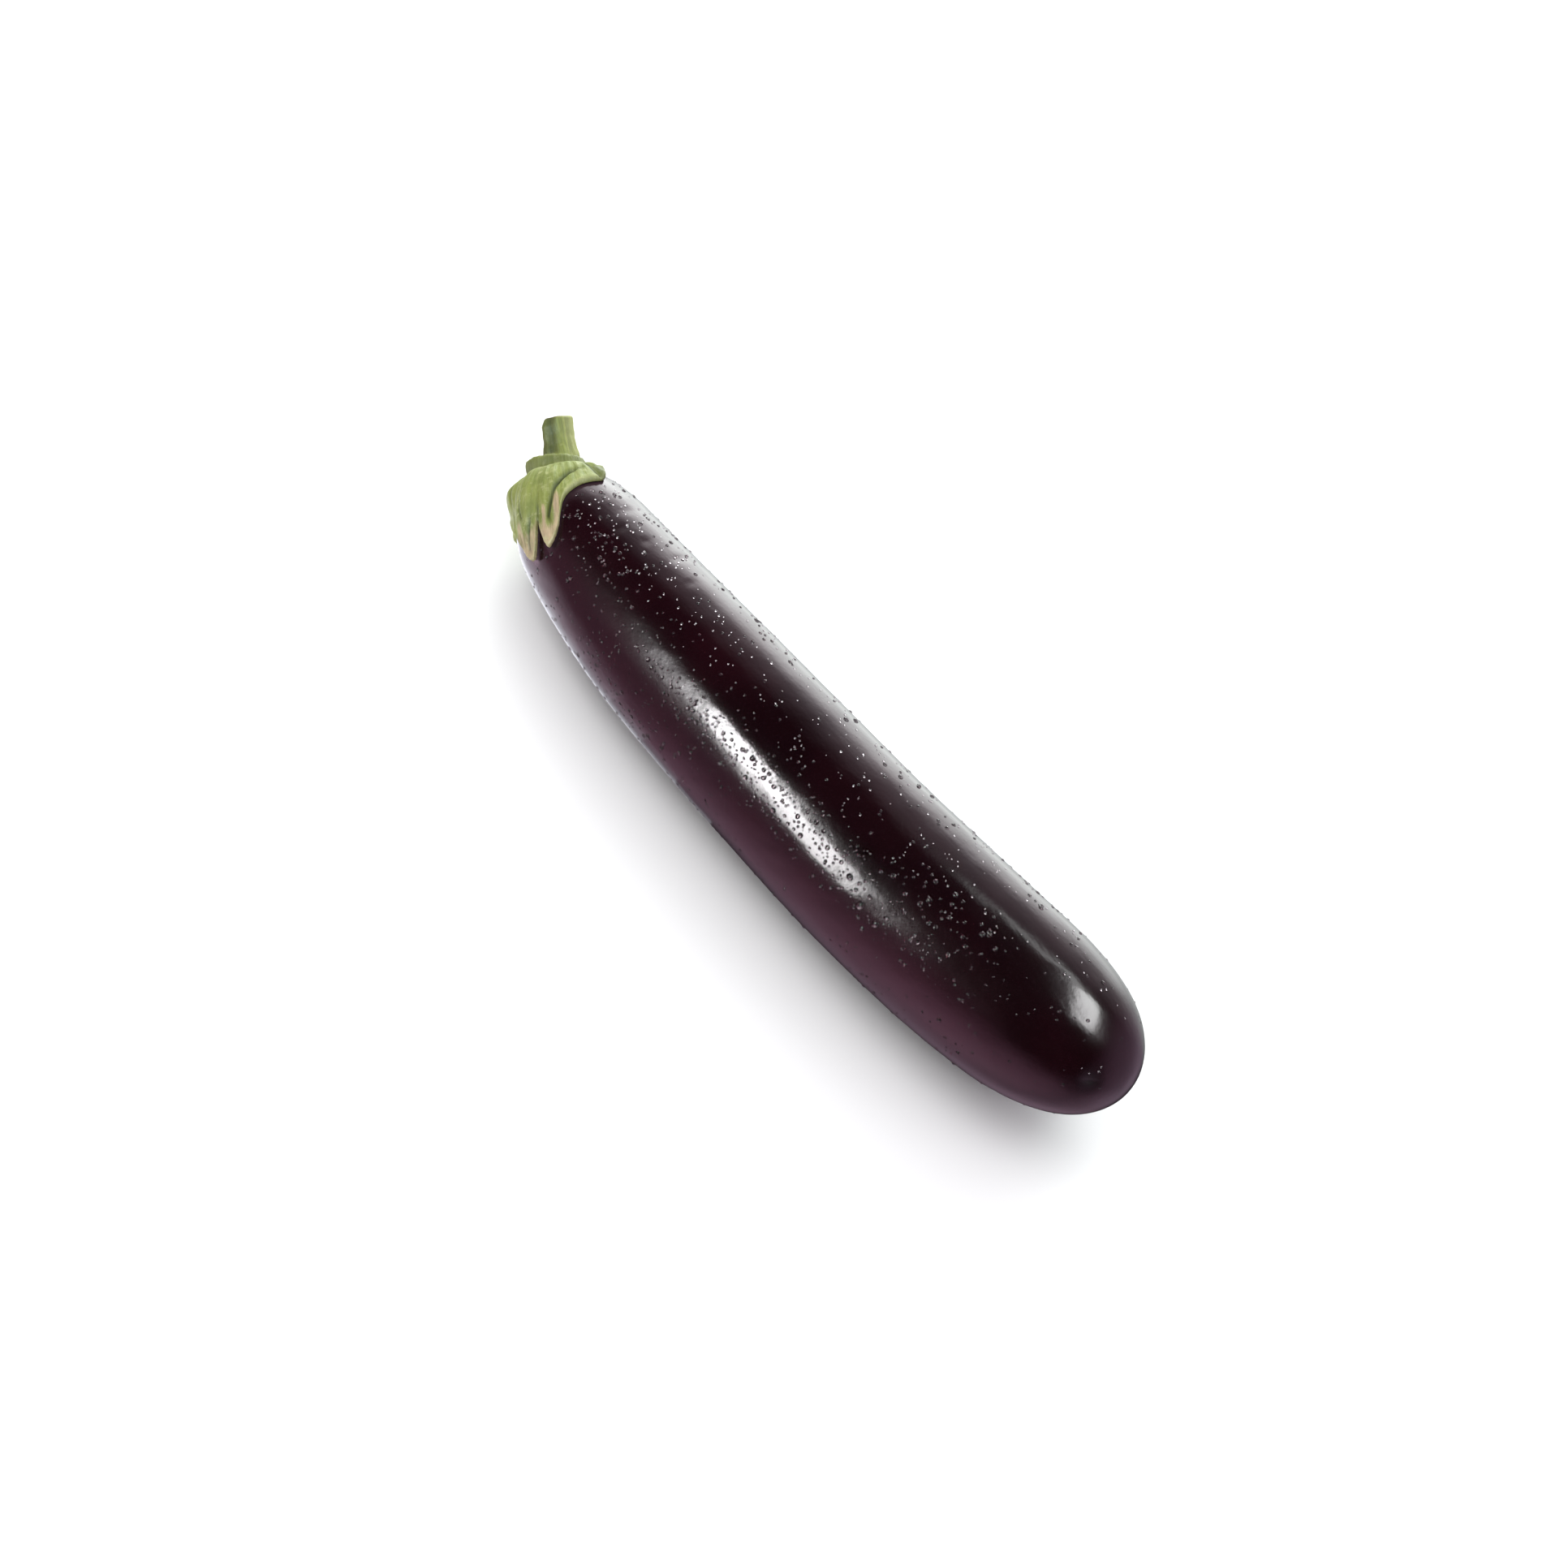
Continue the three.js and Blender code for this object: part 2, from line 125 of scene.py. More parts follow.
# Furrows of the cap: depth, half width in mm, darkness of painted shade, and the (turn, lean) points each runs
# through.
FURROWS = [
    (1.15, 0.62, 1.0, [
        (-8, 38), (-21, 42), (-31, 49), (-35, 54), (-38, 63), (-40, 70), (-41, 75), (-39, 80),
    ]),
    (1.1, 0.75, 0.9, [(1, 26), (2, 36), (3, 44), (4, 51)]),
    (0.6, 0.5, 0.8, [(-57, 70), (-58, 76), (-60, 84), (-61, 92), (-60, 97)]),
    (0.5, 0.42, 0.8, [(-70, 54), (-69, 60), (-67, 66), (-65, 71)]),
    (0.4, 0.7, 0.35, [(-90, 36), (-88, 44), (-84, 54), (-80, 64)]),
    (0.5, 0.5, 0.6, [(-50, 62), (-50, 70), (-50, 80)]),
    (0.9, 0.7, 0.8, [(98, 26), (97, 34), (98, 44)]),
    (0.5, 0.5, 0.6, [(116, 52), (118, 64), (120, 76)]),
    (0.45, 0.5, 0.5, [(130, 44), (130, 56), (131, 68)]),
    (0.9, 0.7, 0.8, [(152, 26), (152, 36), (152, 48)]),
    (0.5, 0.5, 0.6, [(174, 56), (176, 68), (178, 80)]),
    (0.45, 0.5, 0.5, [(188, 46), (187, 58), (185, 70)]),
    (0.9, 0.7, 0.8, [(208, 26), (208, 36), (208, 46)]),
    (0.45, 0.5, 0.5, [(228, 40), (230, 52), (232, 64)]),
    (0.8, 0.7, 0.7, [(247, 26), (248, 38), (248, 50)]),
]
# Dried tips: turn and half width, the leans where each starts and is full, and its share.
DRY_TIPS = ((-34.5, 3, 50, 66, 1.0), (-44.5, 2.2, 58, 72, 0.85), (-71, 5, 62, 74, 0.7))
CAP_REACH = 24  # usual distance from the cap's centre to the skin
VEINS = {"height": 0.2, "fade": (22, 34)}  # fine ribs that run down every sepal
INSIDE_ROWS = 14  # rows of faces on the inside of the cap, over the crown's drum and down its wall
DRUM_ROWS = 16
WALL_ROWS = 8
RIM = {"width": 1.0, "height": 0.3, "lip": 0.8}  # thicker margin of the sepals, and its rounded edge
TIP_CURL = {"height": 0.55, "from": 82, "to": 104}
STALK_LIP = {"lean": 11.2, "half_width": 1.3, "height": 0.5}  # pale whorl where the stalk is rooted
STALK_FINE_RIBS = {"count": 17, "height": 0.07}
STALK_TWIST = 0.25  # turn of the finest ribs from foot to cut, in radians
BEVEL_ROWS = 5     # rows of faces on the shoulder of the cut, and on its face
FACE_ROWS = 14
STALK_TRIM = 0.3   # the stalk seen ends this far short of the solid, for its rough cut
STALK_WORN = 1.1   # how far the shoulder of the cut is worn down on the side of the front sepal
STALK_FACE = {"rim": 0.22, "hollow": 0.35, "rough": 0.16}
STALK_PITH = STALK_FACE["rim"] + STALK_FACE["hollow"]
STALK_ROOT = 0.5   # how far the foot reaches down, across the gap and into the crown
DENTS = [  # small dents in the skin near the stem: (along, angle, length, width, depth)
    (-69, 78, 3.2, 1.1, 0.32), (-85, 102, 2.6, 0.9, 0.22), (-66, 51, 2.4, 1.0, 0.22),
    (-78, 92, 1.8, 0.9, 0.2), (-60, 88, 2.0, 0.9, 0.18), (-90, 84, 3.0, 1.2, 0.2),
]

# The room: its darkest colour, and broad glows as (direction, cosines where each starts and is full, colour).
ROOM_DARK = (0.03, 0.026, 0.028)
ROOM_GLOWS = [
    ((-0.5, 0.85, 0.15), 0.42, 0.85, (1.3, 1.38, 1.36)),        # the white sweep behind
    ((-0.6, 0.75, 0.3), 0.86, 1.0, (4.3, 4.7, 4.5)),            # its brightest part
    ((-0.35, 0.93, 0.1), 0.84, 1.0, (3.2, 3.4, 3.3)),
    ((-0.45, -0.75, -0.5), 0.45, 0.95, (0.80, 0.42, 0.58)),     # what lies below and in front
    ((0.3, -0.75, -0.6), 0.8, 1.0, (0.7, 0.42, 0.54)),
    ((0.4, -0.3, -0.87), 0.5, 0.95, (0.7, 0.48, 0.64)),
    ((0.85, 0.5, -0.05), 0.55, 0.98, (0.95, 0.72, 0.95)),       # a pale wall to the right
]

# The long highlight comes from a row of tall lights: place, size, and share of the power of each.
STRIP = [
    ((-0.314, -0.85, 0.46), (0.03, 0.42), 0.40),
    ((-0.288, -0.855, 0.375), (0.03, 0.42), 0.26),
    ((-0.255, -0.86, 0.29), (0.034, 0.42), 0.07),
    ((-0.223, -0.865, 0.25), (0.032, 0.42), 0.10),
    ((-0.190, -0.87, 0.22), (0.032, 0.42), 0.10),
    ((-0.161, -0.875, 0.20), (0.028, 0.42), 0.070),
    ((-0.134, -0.88, 0.205), (0.026, 0.40), 0.11),
    ((-0.110, -0.88, 0.20), (0.024, 0.36), 0.07),
    ((-0.085, -0.88, 0.18), (0.026, 0.34), 0.035),
]
STRIP_COLOUR = (0.75, 1.0, 0.87)
CARD_COLOUR = (0.9, 0.92, 1.0)
LEVEL = (1.0, 0.0, 0.0)
UPWARDS = (0.0, 0.0, 1.0)
# Lights that show only in what is glossy or clear: name, place, size, share of the power, direction of the first side,
# colour, and the way each faces (None: towards the object).
HIGHLIGHT_LIGHTS = [(f"strip_{number}", *light, LEVEL, STRIP_COLOUR, None)
                    for number, light in enumerate(STRIP)]
HIGHLIGHT_LIGHTS += [
    ("band_above", (0.5, 0.2, 0.92), (0.66, 0.24), 0.75, (0.5, -0.87, 0.0), STRIP_COLOUR, None),
    ("band_end", (0.11, 0.44, 0.92), (0.38, 0.09), 0.05, (0.93, 0.37, 0.0), STRIP_COLOUR, None),
]
# A pale glow from the floor beside the neck: cards on one another, each longer and narrower than the last.
CARD_COUNT = 8
CARD_CORNER = (-0.15, 0.003, 0.0008)  # left end, back edge and height of the lowest, in metres
CARD_LENGTHS = (0.05, 0.16)
CARD_WIDTHS = (0.062, 0.02)
CARD_SHARE = 0.045  # share of the power for each square metre
CARD_GAP = 0.00005

CAMERA_PLACE = (199.1, -602.8, 667.5)  # in mm, as is the sensor's width
CAMERA_SENSOR = 36
CAMERA_RIGHT = (0.6567, 0.6425, 0.3949)
CAMERA_UP = (-0.7216, 0.3831, 0.5767)
# The floor is round, and ends where it is still nearly white, so its edge hardly shows.
FLOOR_RADIUS = 1.35
FLOOR_SIDES = 64
# Wide soft lights that only fill: name, place, size, share of the power.
FILL_LIGHTS = (
    ("fill_overhead", (-0.1, 0.0, 1.7), (2.4, 2.4), 1.0),
    ("fill_front", (0.55, -0.9, 0.8), (0.9, 0.9), 0.18),
    ("fill_left", (-1.1, -0.5, 0.8), (1.0, 1.0), 0.4),
)

ROW_CROWDING = 0.03  # how far the rows of faces are drawn together, at both ends and in the middle
# The blossom scar is shallower than the solid's, and nearer the tip.
BLOSSOM_SCAR = {"along": 114.9, "angle": 156, "radius": 3.1, "depth": 0.32, "towards": 92.5}
# The pit in the blossom scar, and how far the scar darkens the skin round it, in mm.
SCAR_PIT = {"along": 115.2, "angle": 158, "depth": 0.3, "across": 0.55, "long": 1.8, "dark": 3.2}
# Pale skin beside the cap's edge: strongest at one turn, fading over degrees of lean and along the neck.
SHELTER = {"turn": -62, "half_width": 10, "least": 0.2, "fade": 2.6, "end": (-70, -50)}

WET_SPAN = (-112, 118)     # part of the axis that the fine drops cover, and the larger ones below
PATCH_SPAN = (-108, 116)
MIST_SPREAD = 0.42         # how much the radii of the fine drops differ, and their limits in mm
MIST_RADII = (0.12, 0.72)
SKIN_REACH = 25            # usual distance from the axis to the skin
PATCH_TRIES = 30           # places tried for each larger drop
DROP_GAP = 0.25            # room kept between the larger drops, in mm
DROP_SUNK = 0.22           # how deep the foot of a drop goes into the skin, as a share of its radius
DROP_ROOM = 1.3            # room in the box for a drop, as a share of its radius
DROP_UNEVEN = 0.16         # how much the widths and height of a drop differ, as a share
FACING_FLOOR = -0.94       # skin that faces further down than this stays dry
# Patches of larger drops: middle (along, angle), spread, how many, and radii from smallest to largest.
DROP_PATCHES = [
    ((-32, 146), (12, 7), 60, (0.3, 0.72)),
    ((0, 146), (16, 6), 90, (0.3, 0.75)),
    ((32, 150), (14, 7), 70, (0.3, 0.75)),
    ((55, 125), (9, 13), 26, (0.4, 0.8)),
    ((-80, 120), (12, 24), 36, (0.35, 0.75)),
    ((-60, 200), (16, 14), 24, (0.35, 0.75)),
    ((-20, 40), (30, 26), 26, (0.4, 1.0)),
    ((60, -40), (30, 30), 22, (0.4, 1.0)),
    ((70, 60), (22, 22), 18, (0.4, 0.8)),
    ((-60, -10), (26, 30), 22, (0.4, 0.9)),
]
# Drops that stand out by themselves: (along, angle, radius).
SINGLE_DROPS = [
    (36, 167, 1.15), (39, 157, 1.3), (45, 159, 0.95), (43, 168, 0.8), (32, 149, 0.95), (5, 155, 0.8),
    (-9, 142, 0.85), (15, 153, 0.8), (22.5, 146, 0.75), (11, 146, 0.7), (40, 130, 0.85), (45.5, 133, 0.8),
    (50, 131, 0.85), (51, 125, 0.8), (55, 112, 0.9), (56, 118, 0.8), (58, 125, 0.85), (57, 135, 0.7),
    (67, 119, 0.8), (64, 142, 0.75), (63, 147, 0.7), (68, 115, 0.75), (105, 115, 0.55),
]


# ---------- Small helpers ----------

def smooth(low, high, value):
    share = np.clip((value - low) / (high - low), 0, 1)
    return share * share * (3 - 2 * share)


def bump(distance):
    return np.exp(-np.square(distance))


def between(value, rise, fall):
    """1 between where the value rises and where it falls, fading to 0 on either side."""
    return smooth(*rise, value) * (1 - smooth(*fall, value))


def bisect(shape, low, high, steps, further):
    """Where a test turns from true to false, for every place of an array."""
    low, high = np.full(shape, low), np.full(shape, high)
    for _ in range(steps):
        middle = (low + high) / 2
        onwards = further(middle)
        low = np.where(onwards, middle, low)
        high = np.where(onwards, high, middle)
    return low


def near(value, middle, width):
    """1 where the value is at the middle, fading over the width on both sides."""
    return bump((value - middle) / width)


def near_turn(turn, middle, width):
    return bump(turn_gap(turn, middle) / width)


def waves(turn, count, phase=0):
    return np.sin(np.radians(turn) * count + phase)


def round_angles(sides):
    return np.arange(sides) * (2 * np.pi / sides)


def directions(first, second, angle):
    """Directions at angles from the first of two that are square to each other."""
    return first * np.cos(angle)[..., None] + second * np.sin(angle)[..., None]


def on_circle(angle, radius=1, height=0):
    return np.stack([radius * np.cos(angle), radius * np.sin(angle), height + 0 * angle], -1)


def lengths_along(points):
    """The length of a line of points up to each of them."""
    return np.concatenate([[0], np.cumsum(np.linalg.norm(np.diff(points, axis=0), axis=1))])


def at_lengths(wanted, lengths, curve):
    """Both values of a curve's points, at these lengths along it."""
    return [np.interp(wanted, lengths, values) for values in curve.T]


def mix(a, b, share):
    return a + (b - a) * share


def unit(vectors):
    return vectors / np.linalg.norm(vectors, axis=-1, keepdims=True)


def turn_gap(a, b):
    return (a - b + 540) % 360 - 180


def through_points(points, steps):
    """Points on a centripetal Catmull-Rom curve through these points, steps to each span."""
    points = np.array(points, float)
    padded = np.vstack([2 * points[0] - points[1], points, 2 * points[-1] - points[-2]])
    share = np.linspace(0, 1, steps, endpoint=False)[:, None]
    spans = []
    for p0, p1, p2, p3 in zip(padded, padded[1:], padded[2:], padded[3:]):
        d0, d1, d2 = (np.linalg.norm(b - a) ** 0.5 for a, b in ((p0, p1), (p1, p2), (p2, p3)))
        leave = ((p1 - p0) / d0 - (p2 - p0) / (d0 + d1) + (p2 - p1) / d1) * d1
        arrive = ((p2 - p1) / d1 - (p3 - p1) / (d1 + d2) + (p3 - p2) / d2) * d1
        square = -3 * p1 + 3 * p2 - 2 * leave - arrive
        cube = 2 * p1 - 2 * p2 + leave + arrive
        spans.append(p1 + leave * share + square * share**2 + cube * share**3)
    return np.vstack(spans + [points[-1:]])


def store(mesh, name, values):
    """Keeps a number or a vector for every point of a mesh."""
    kind, key = ("FLOAT_VECTOR", "vector") if values.ndim == 2 else ("FLOAT", "value")
    mesh.attributes.new(name, kind, "POINT").data.foreach_set(key, values.ravel())


def show(name, data):
    """An object for a mesh, light or camera, in the scene."""
    made = bpy.data.objects.new(name, data)
    bpy.context.scene.collection.objects.link(made)
    return made


def aim(thing, place, axes):
    """Stands an object at a place, by its own three directions."""
    thing.matrix_world = Matrix.Translation(place) @ Matrix(axes).transposed().to_4x4()


def body_from_rings(name, first, rings, last, attributes=None):
    """A closed mesh object from rings of points in mm, with one point at each end.

    attributes maps a name to values for first, every ring and last: numbers, or vectors."""
    rings = np.asarray(rings)
    count, sides = rings.shape[:2]
    points = np.vstack([first, rings.reshape(-1, 3), last]) * MM
    ring, side = np.meshgrid(np.arange(count - 1), np.arange(sides), indexing="ij")
    beside = (side + 1) % sides
    quads = np.stack([1 + ring * sides + side, 1 + ring * sides + beside,
                      1 + (ring + 1) * sides + beside, 1 + (ring + 1) * sides + side], -1).reshape(-1, 4)
    around = np.arange(sides)
    after = (around + 1) % sides
    end = len(points) - 1
    top = end - sides
    caps = [(0, 1 + b, 1 + a) for a, b in zip(around, after)]
    caps += [(top + a, top + b, end) for a, b in zip(around, after)]
    mesh = bpy.data.meshes.new(name)
    mesh.from_pydata(points.tolist(), [], quads.tolist() + [tuple(map(int, face)) for face in caps])
    for title, (head, body, tail) in (attributes or {}).items():
        store(mesh, title, np.concatenate([[head], body.reshape(-1, *body.shape[2:]), [tail]]))
    mesh.shade_smooth()
    mesh.validate()
    return show(name, mesh)


def finish_piece(piece, material, node=None):
    """Gives a finished piece its material and its body, and hides the solid it stands in for."""
    piece.data.materials.clear()
    piece.data.materials.append(material)
    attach(piece, "root")
    if node:
        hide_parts(node)


# ---------- The fruit's axis and skin ----------

def bend_offset(bend, distance):
    beyond = np.maximum(0, distance - bend["start"]) / bend["over"]
    return (bend["offset"] * beyond ** bend["power"])[..., None] * unit(np.array(bend["side"], float))


def axis_point(along):
    along = np.asarray(along, float)
    straight = np.stack([along, np.zeros_like(along), REST_SLOPE * along], -1)
    distance = np.abs(along)
    stem_side = bend_offset(STEM_BEND, distance) + bend_offset(NECK_BEND, distance)
    blossom_side = bend_offset(BLOSSOM_BEND, distance) + bend_offset(TIP_BEND, distance)
    return AXIS_MIDDLE + straight + np.where(along[..., None] < 0, stem_side, blossom_side)


def axis_direction(along):
    half_step = 0.05
    along = np.asarray(along, float)
    return unit(axis_point(along + half_step) - axis_point(along - half_step))


PROFILE = through_points(FRUIT_PROFILE, 200)


def fruit_radius(along):
    return np.interp(along, PROFILE[:, 0], PROFILE[:, 1], left=0, right=0)


def outside_fruit(points):
    """How far points stand outside the fruit's skin, and their places along the axis."""
    def ahead(middle):
        return ((points - axis_point(middle)) * axis_direction(middle)).sum(-1) > 0

    along = bisect(points.shape[:-1], *AXIS_SEARCH, ahead)
    return np.linalg.norm(points - axis_point(along), axis=-1) - fruit_radius(along), along


def fruit_skin_point(along, radius, angle):
    along, radius, angle = np.broadcast_arrays(along, radius, angle)
    direction = axis_direction(along)
    sideways = unit(np.cross((0, 0, 1), direction))
    upwards = np.cross(direction, sideways)
    body = between(along, FLANKS["rise"], FLANKS["fall"])
    turning = FLANKS["count"] * angle + FLANKS["phase"] + FLANKS["twist"] * along / 100
    swollen = (radius + FLANKS["height"] * body * np.cos(turning))[..., None]
    return axis_point(along) + swollen * directions(sideways, upwards, angle)


def unevenness(points):
    """Depth in mm of the skin's slow unevenness at these points."""
    slow = np.sin(points @ (0.11, 0.05, 0.16) + 1.0) * np.sin(points @ (0.045, -0.19, 0.07) + 2.0)
    quick = np.sin(points @ (0.31, 0.22, -0.37)) * np.sin(points @ (-0.23, 0.41, 0.29) + 0.5)
    return bpy.context.scene.eggplant_fruit.undulation * (0.5 + 0.32 * slow + 0.12 * quick)


def skin_at(along, degrees):
    """A point on the fruit's skin, and the direction straight out of it."""
    along = np.asarray(along, float)
    angle = np.radians(degrees)
    step = 0.5
    point = fruit_skin_point(along, fruit_radius(along), angle)
    onwards = fruit_skin_point(along + step, fruit_radius(along + step), angle) - point
    around = fruit_skin_point(along, fruit_radius(along), angle + 0.02) - point
    return point, unit(np.cross(around, onwards))


# ---------- The calyx's own places ----------

UP = np.array([0.0, 0.0, 1.0])
CAP_UP = unit(UP - CROWN_AXIS * CROWN_AXIS[2])
CAP_ACROSS = np.cross(CROWN_AXIS, CAP_UP)
CAP_CENTRE = CROWN_TOP - CROWN_AXIS * CROWN_TOP_TO_CENTRE


def cap_ray(turn, lean):
    return directions(CROWN_AXIS, directions(CAP_UP, CAP_ACROSS, np.radians(turn)), np.radians(lean))


def skin_distance(ray):
    def inside(middle):
        return outside_fruit(CAP_CENTRE + ray * middle[..., None])[0] < 0

    return bisect(ray.shape[:-1], *SKIN_SEARCH, inside)


def cap_places(points):
    """Turn and lean of points in mm."""
    ray = points - CAP_CENTRE
    turn = np.degrees(np.arctan2(ray @ CAP_ACROSS, ray @ CAP_UP))
    lean = np.degrees(np.arccos(np.clip(unit(ray) @ CROWN_AXIS, -1, 1)))
    return turn, lean


def cap_edge_curve():
    """The cap's edge as many (turn, lean) points once round, rounded at its corners."""
    wrapped = CAP_EDGE[-2:]
    before = [(turn - 360, lean) for turn, lean in wrapped]
    after = [(turn + 360, lean) for turn, lean in CAP_EDGE[:3]]
    steps = 24
    curve = through_points(before + CAP_EDGE + after, steps)
    start = len(wrapped) * steps
    curve = curve[start:start + len(CAP_EDGE) * steps + 1]
    tiny = 1e-6  # keeps every turn above the one before it
    curve[:, 0] = np.maximum.accumulate(curve[:, 0] + np.arange(len(curve)) * tiny)
    return curve


def edge_lean_at(turn, curve):
    return np.interp((turn - curve[0, 0]) % 360 + curve[0, 0], curve[:, 0], curve[:, 1])


def rolled_share(turn, lean):
    across = near_turn(turn, ROLLED_SEPAL["turn"], ROLLED_SEPAL["across"])
    return across * smooth(ROLLED_SEPAL["from"], ROLLED_SEPAL["to"], lean)


def crown_lean(turn):
    swing = np.cos(np.radians(turn - CROWN_DRUM["widest_turn"]))
    return CROWN_DRUM["lean"] * (1 + CROWN_DRUM["lopsided"] * swing)


def wall_lean(turn):
    return crown_lean(turn) + CROWN_DRUM["wall"]


def cap_thickness(turn, lean, edge_lean):
    size = CAP_THICKNESS
    to_edge = np.clip(lean / edge_lean, 0, 1)
    inner = mix(size["foot"], size["shoulder"], smooth(*size["thicken"], lean))
    plain = mix(inner, size["edge"], smooth(*size["thin"], to_edge))
    ribs = np.max([near_turn(turn, middle, SEPAL_RIB["half_width"]) for middle in SEPAL_TURNS], axis=0)
    rib = SEPAL_RIB["height"] * ribs * (1 - smooth(*SEPAL_RIB["fade"], to_edge))
    fold_across = turn_gap(turn, CAP_FOLD["turn"]) / CAP_FOLD["across"]
    fold_along = (lean - CAP_FOLD["lean"]) / CAP_FOLD["along"]
    fold = CAP_FOLD["height"] * bump(np.hypot(fold_across, fold_along))
    fold = fold * (1 - smooth(*CAP_FOLD["fade"], to_edge))
    return plain + rib + fold + ROLLED_SEPAL["extra"] * rolled_share(turn, lean)


def to_furrow(line, turn, lean):
    """Distance in mm, along the cap, from places to a furrow, and its strength there."""
    line = through_points(line, 6)
    best = np.full(turn.shape, 1e9)
    where = np.zeros(turn.shape)
    for (line_turn, line_lean), at in zip(line, np.linspace(0, 1, len(line))):
        across = np.radians(turn_gap(turn, line_turn)) * np.sin(np.radians(lean)) * CAP_REACH
        ahead = np.radians(lean - line_lean) * CAP_REACH
        distance = np.hypot(across, ahead)
        nearer = distance < best
        best = np.where(nearer, distance, best)
        where = np.where(nearer, at, where)
    return best, between(where, (0, 0.18), (0.82, 1)) * 0.75 + 0.25


# ---------- Node trees ----------

def put(tree, socket, value):
    """Joins an output to an input, or gives the input a value."""
    if isinstance(value, bpy.types.NodeSocket):
        tree.links.new(value, socket)
    else:
        socket.default_value = value


def add_node(tree, kind, output, inputs=(), **settings):
    """Adds a node with its settings and inputs, and gives one of its outputs."""
    node = tree.nodes.new(kind)
    for name, value in settings.items():
        setattr(node, name, value)
    for name, value in dict(inputs).items():
        put(tree, node.inputs[name], value)
    return node.outputs[output]


def drops_tree(material):
    """Stands a drop on every point of the mesh it is given, by the points' own sizes and directions."""
    tree = bpy.data.node_groups.new("Water drops", "GeometryNodeTree")
    inputs = (("Geometry", "Geometry", None), ("Drop", "Object", None), ("Size", "Float", 1.0),
              ("Uneven", "Float", 0.18), ("Seed", "Int", 7))
    for name, kind, default in inputs:
        socket = tree.interface.new_socket(name=name, in_out="INPUT", socket_type="NodeSocket" + kind)
        if default is not None:
            socket.default_value = default
        if kind == "Float":
            socket.min_value = 0.0
    tree.interface.new_socket(name="Geometry", in_out="OUTPUT", socket_type="NodeSocketGeometry")
    given = tree.nodes.new("NodeGroupInput").outputs
    node = functools.partial(add_node, tree)

    def maths(operation, a, b):
        return node("ShaderNodeMath", 0, {0: a, 1: b}, operation=operation)

    def attribute(name, kind):
        return node("GeometryNodeInputNamedAttribute", "Attribute", {"Name": name}, data_type=kind)

    def chance(low, high, seed_shift):
        values = {"Min": low, "Max": high, "Seed": maths("ADD", given["Seed"], seed_shift)}
        return node("FunctionNodeRandomValue", "Value", values, data_type="FLOAT")

    outwards = attribute("outwards", "FLOAT_VECTOR")
    upright = node("FunctionNodeAlignRotationToVector", "Rotation", {"Vector": outwards}, axis="Z")
    spin = {"Axis": (0, 0, 1), "Angle": chance(0.0, math.tau, 1)}
    spin = node("FunctionNodeAxisAngleToRotation", "Rotation", spin)
    turned = node("FunctionNodeRotateRotation", "Rotation", {"Rotation": upright, "Rotate By": spin},
                  rotation_space="LOCAL")
    size = maths("MULTIPLY", attribute("size", "FLOAT"), given["Size"])
    narrow, wide = (maths(way, 1.0, given["Uneven"]) for way in ("SUBTRACT", "ADD"))
    sides = {side: maths("MULTIPLY", size, chance(narrow, wide, shift))
             for side, shift in zip("XYZ", (2, 3, 4))}
    placed = node("GeometryNodeInstanceOnPoints", "Instances", {
        "Points": node("GeometryNodeMeshToPoints", "Points", {"Mesh": given["Geometry"]}),
        "Instance": node("GeometryNodeObjectInfo", "Geometry", {"Object": given["Drop"]}),
        "Rotation": turned,
        "Scale": node("ShaderNodeCombineXYZ", "Vector", sides),
    })
    real = node("GeometryNodeRealizeInstances", "Geometry", {"Geometry": placed})
    finished = node("GeometryNodeSetMaterial", "Geometry", {"Geometry": real, "Material": material})
    put(tree, tree.nodes.new("NodeGroupOutput").inputs["Geometry"], finished)
    return tree


def through_tree(piece, tree, values):
    """Runs a piece's mesh through a node tree, and leaves the result as its plain mesh."""
    modifier = piece.modifiers.new(tree.name, "NODES")
    modifier.node_group = tree
    for item in tree.interface.items_tree:
        if item.item_type == "SOCKET" and item.in_out == "INPUT" and item.name in values:
            modifier[item.identifier] = values[item.name]
    bpy.context.view_layer.update()
    seen = piece.evaluated_get(bpy.context.evaluated_depsgraph_get())
    mesh = bpy.data.meshes.new_from_object(seen)
    piece.modifiers.remove(modifier)
    piece.data = mesh
    mesh.name = piece.name


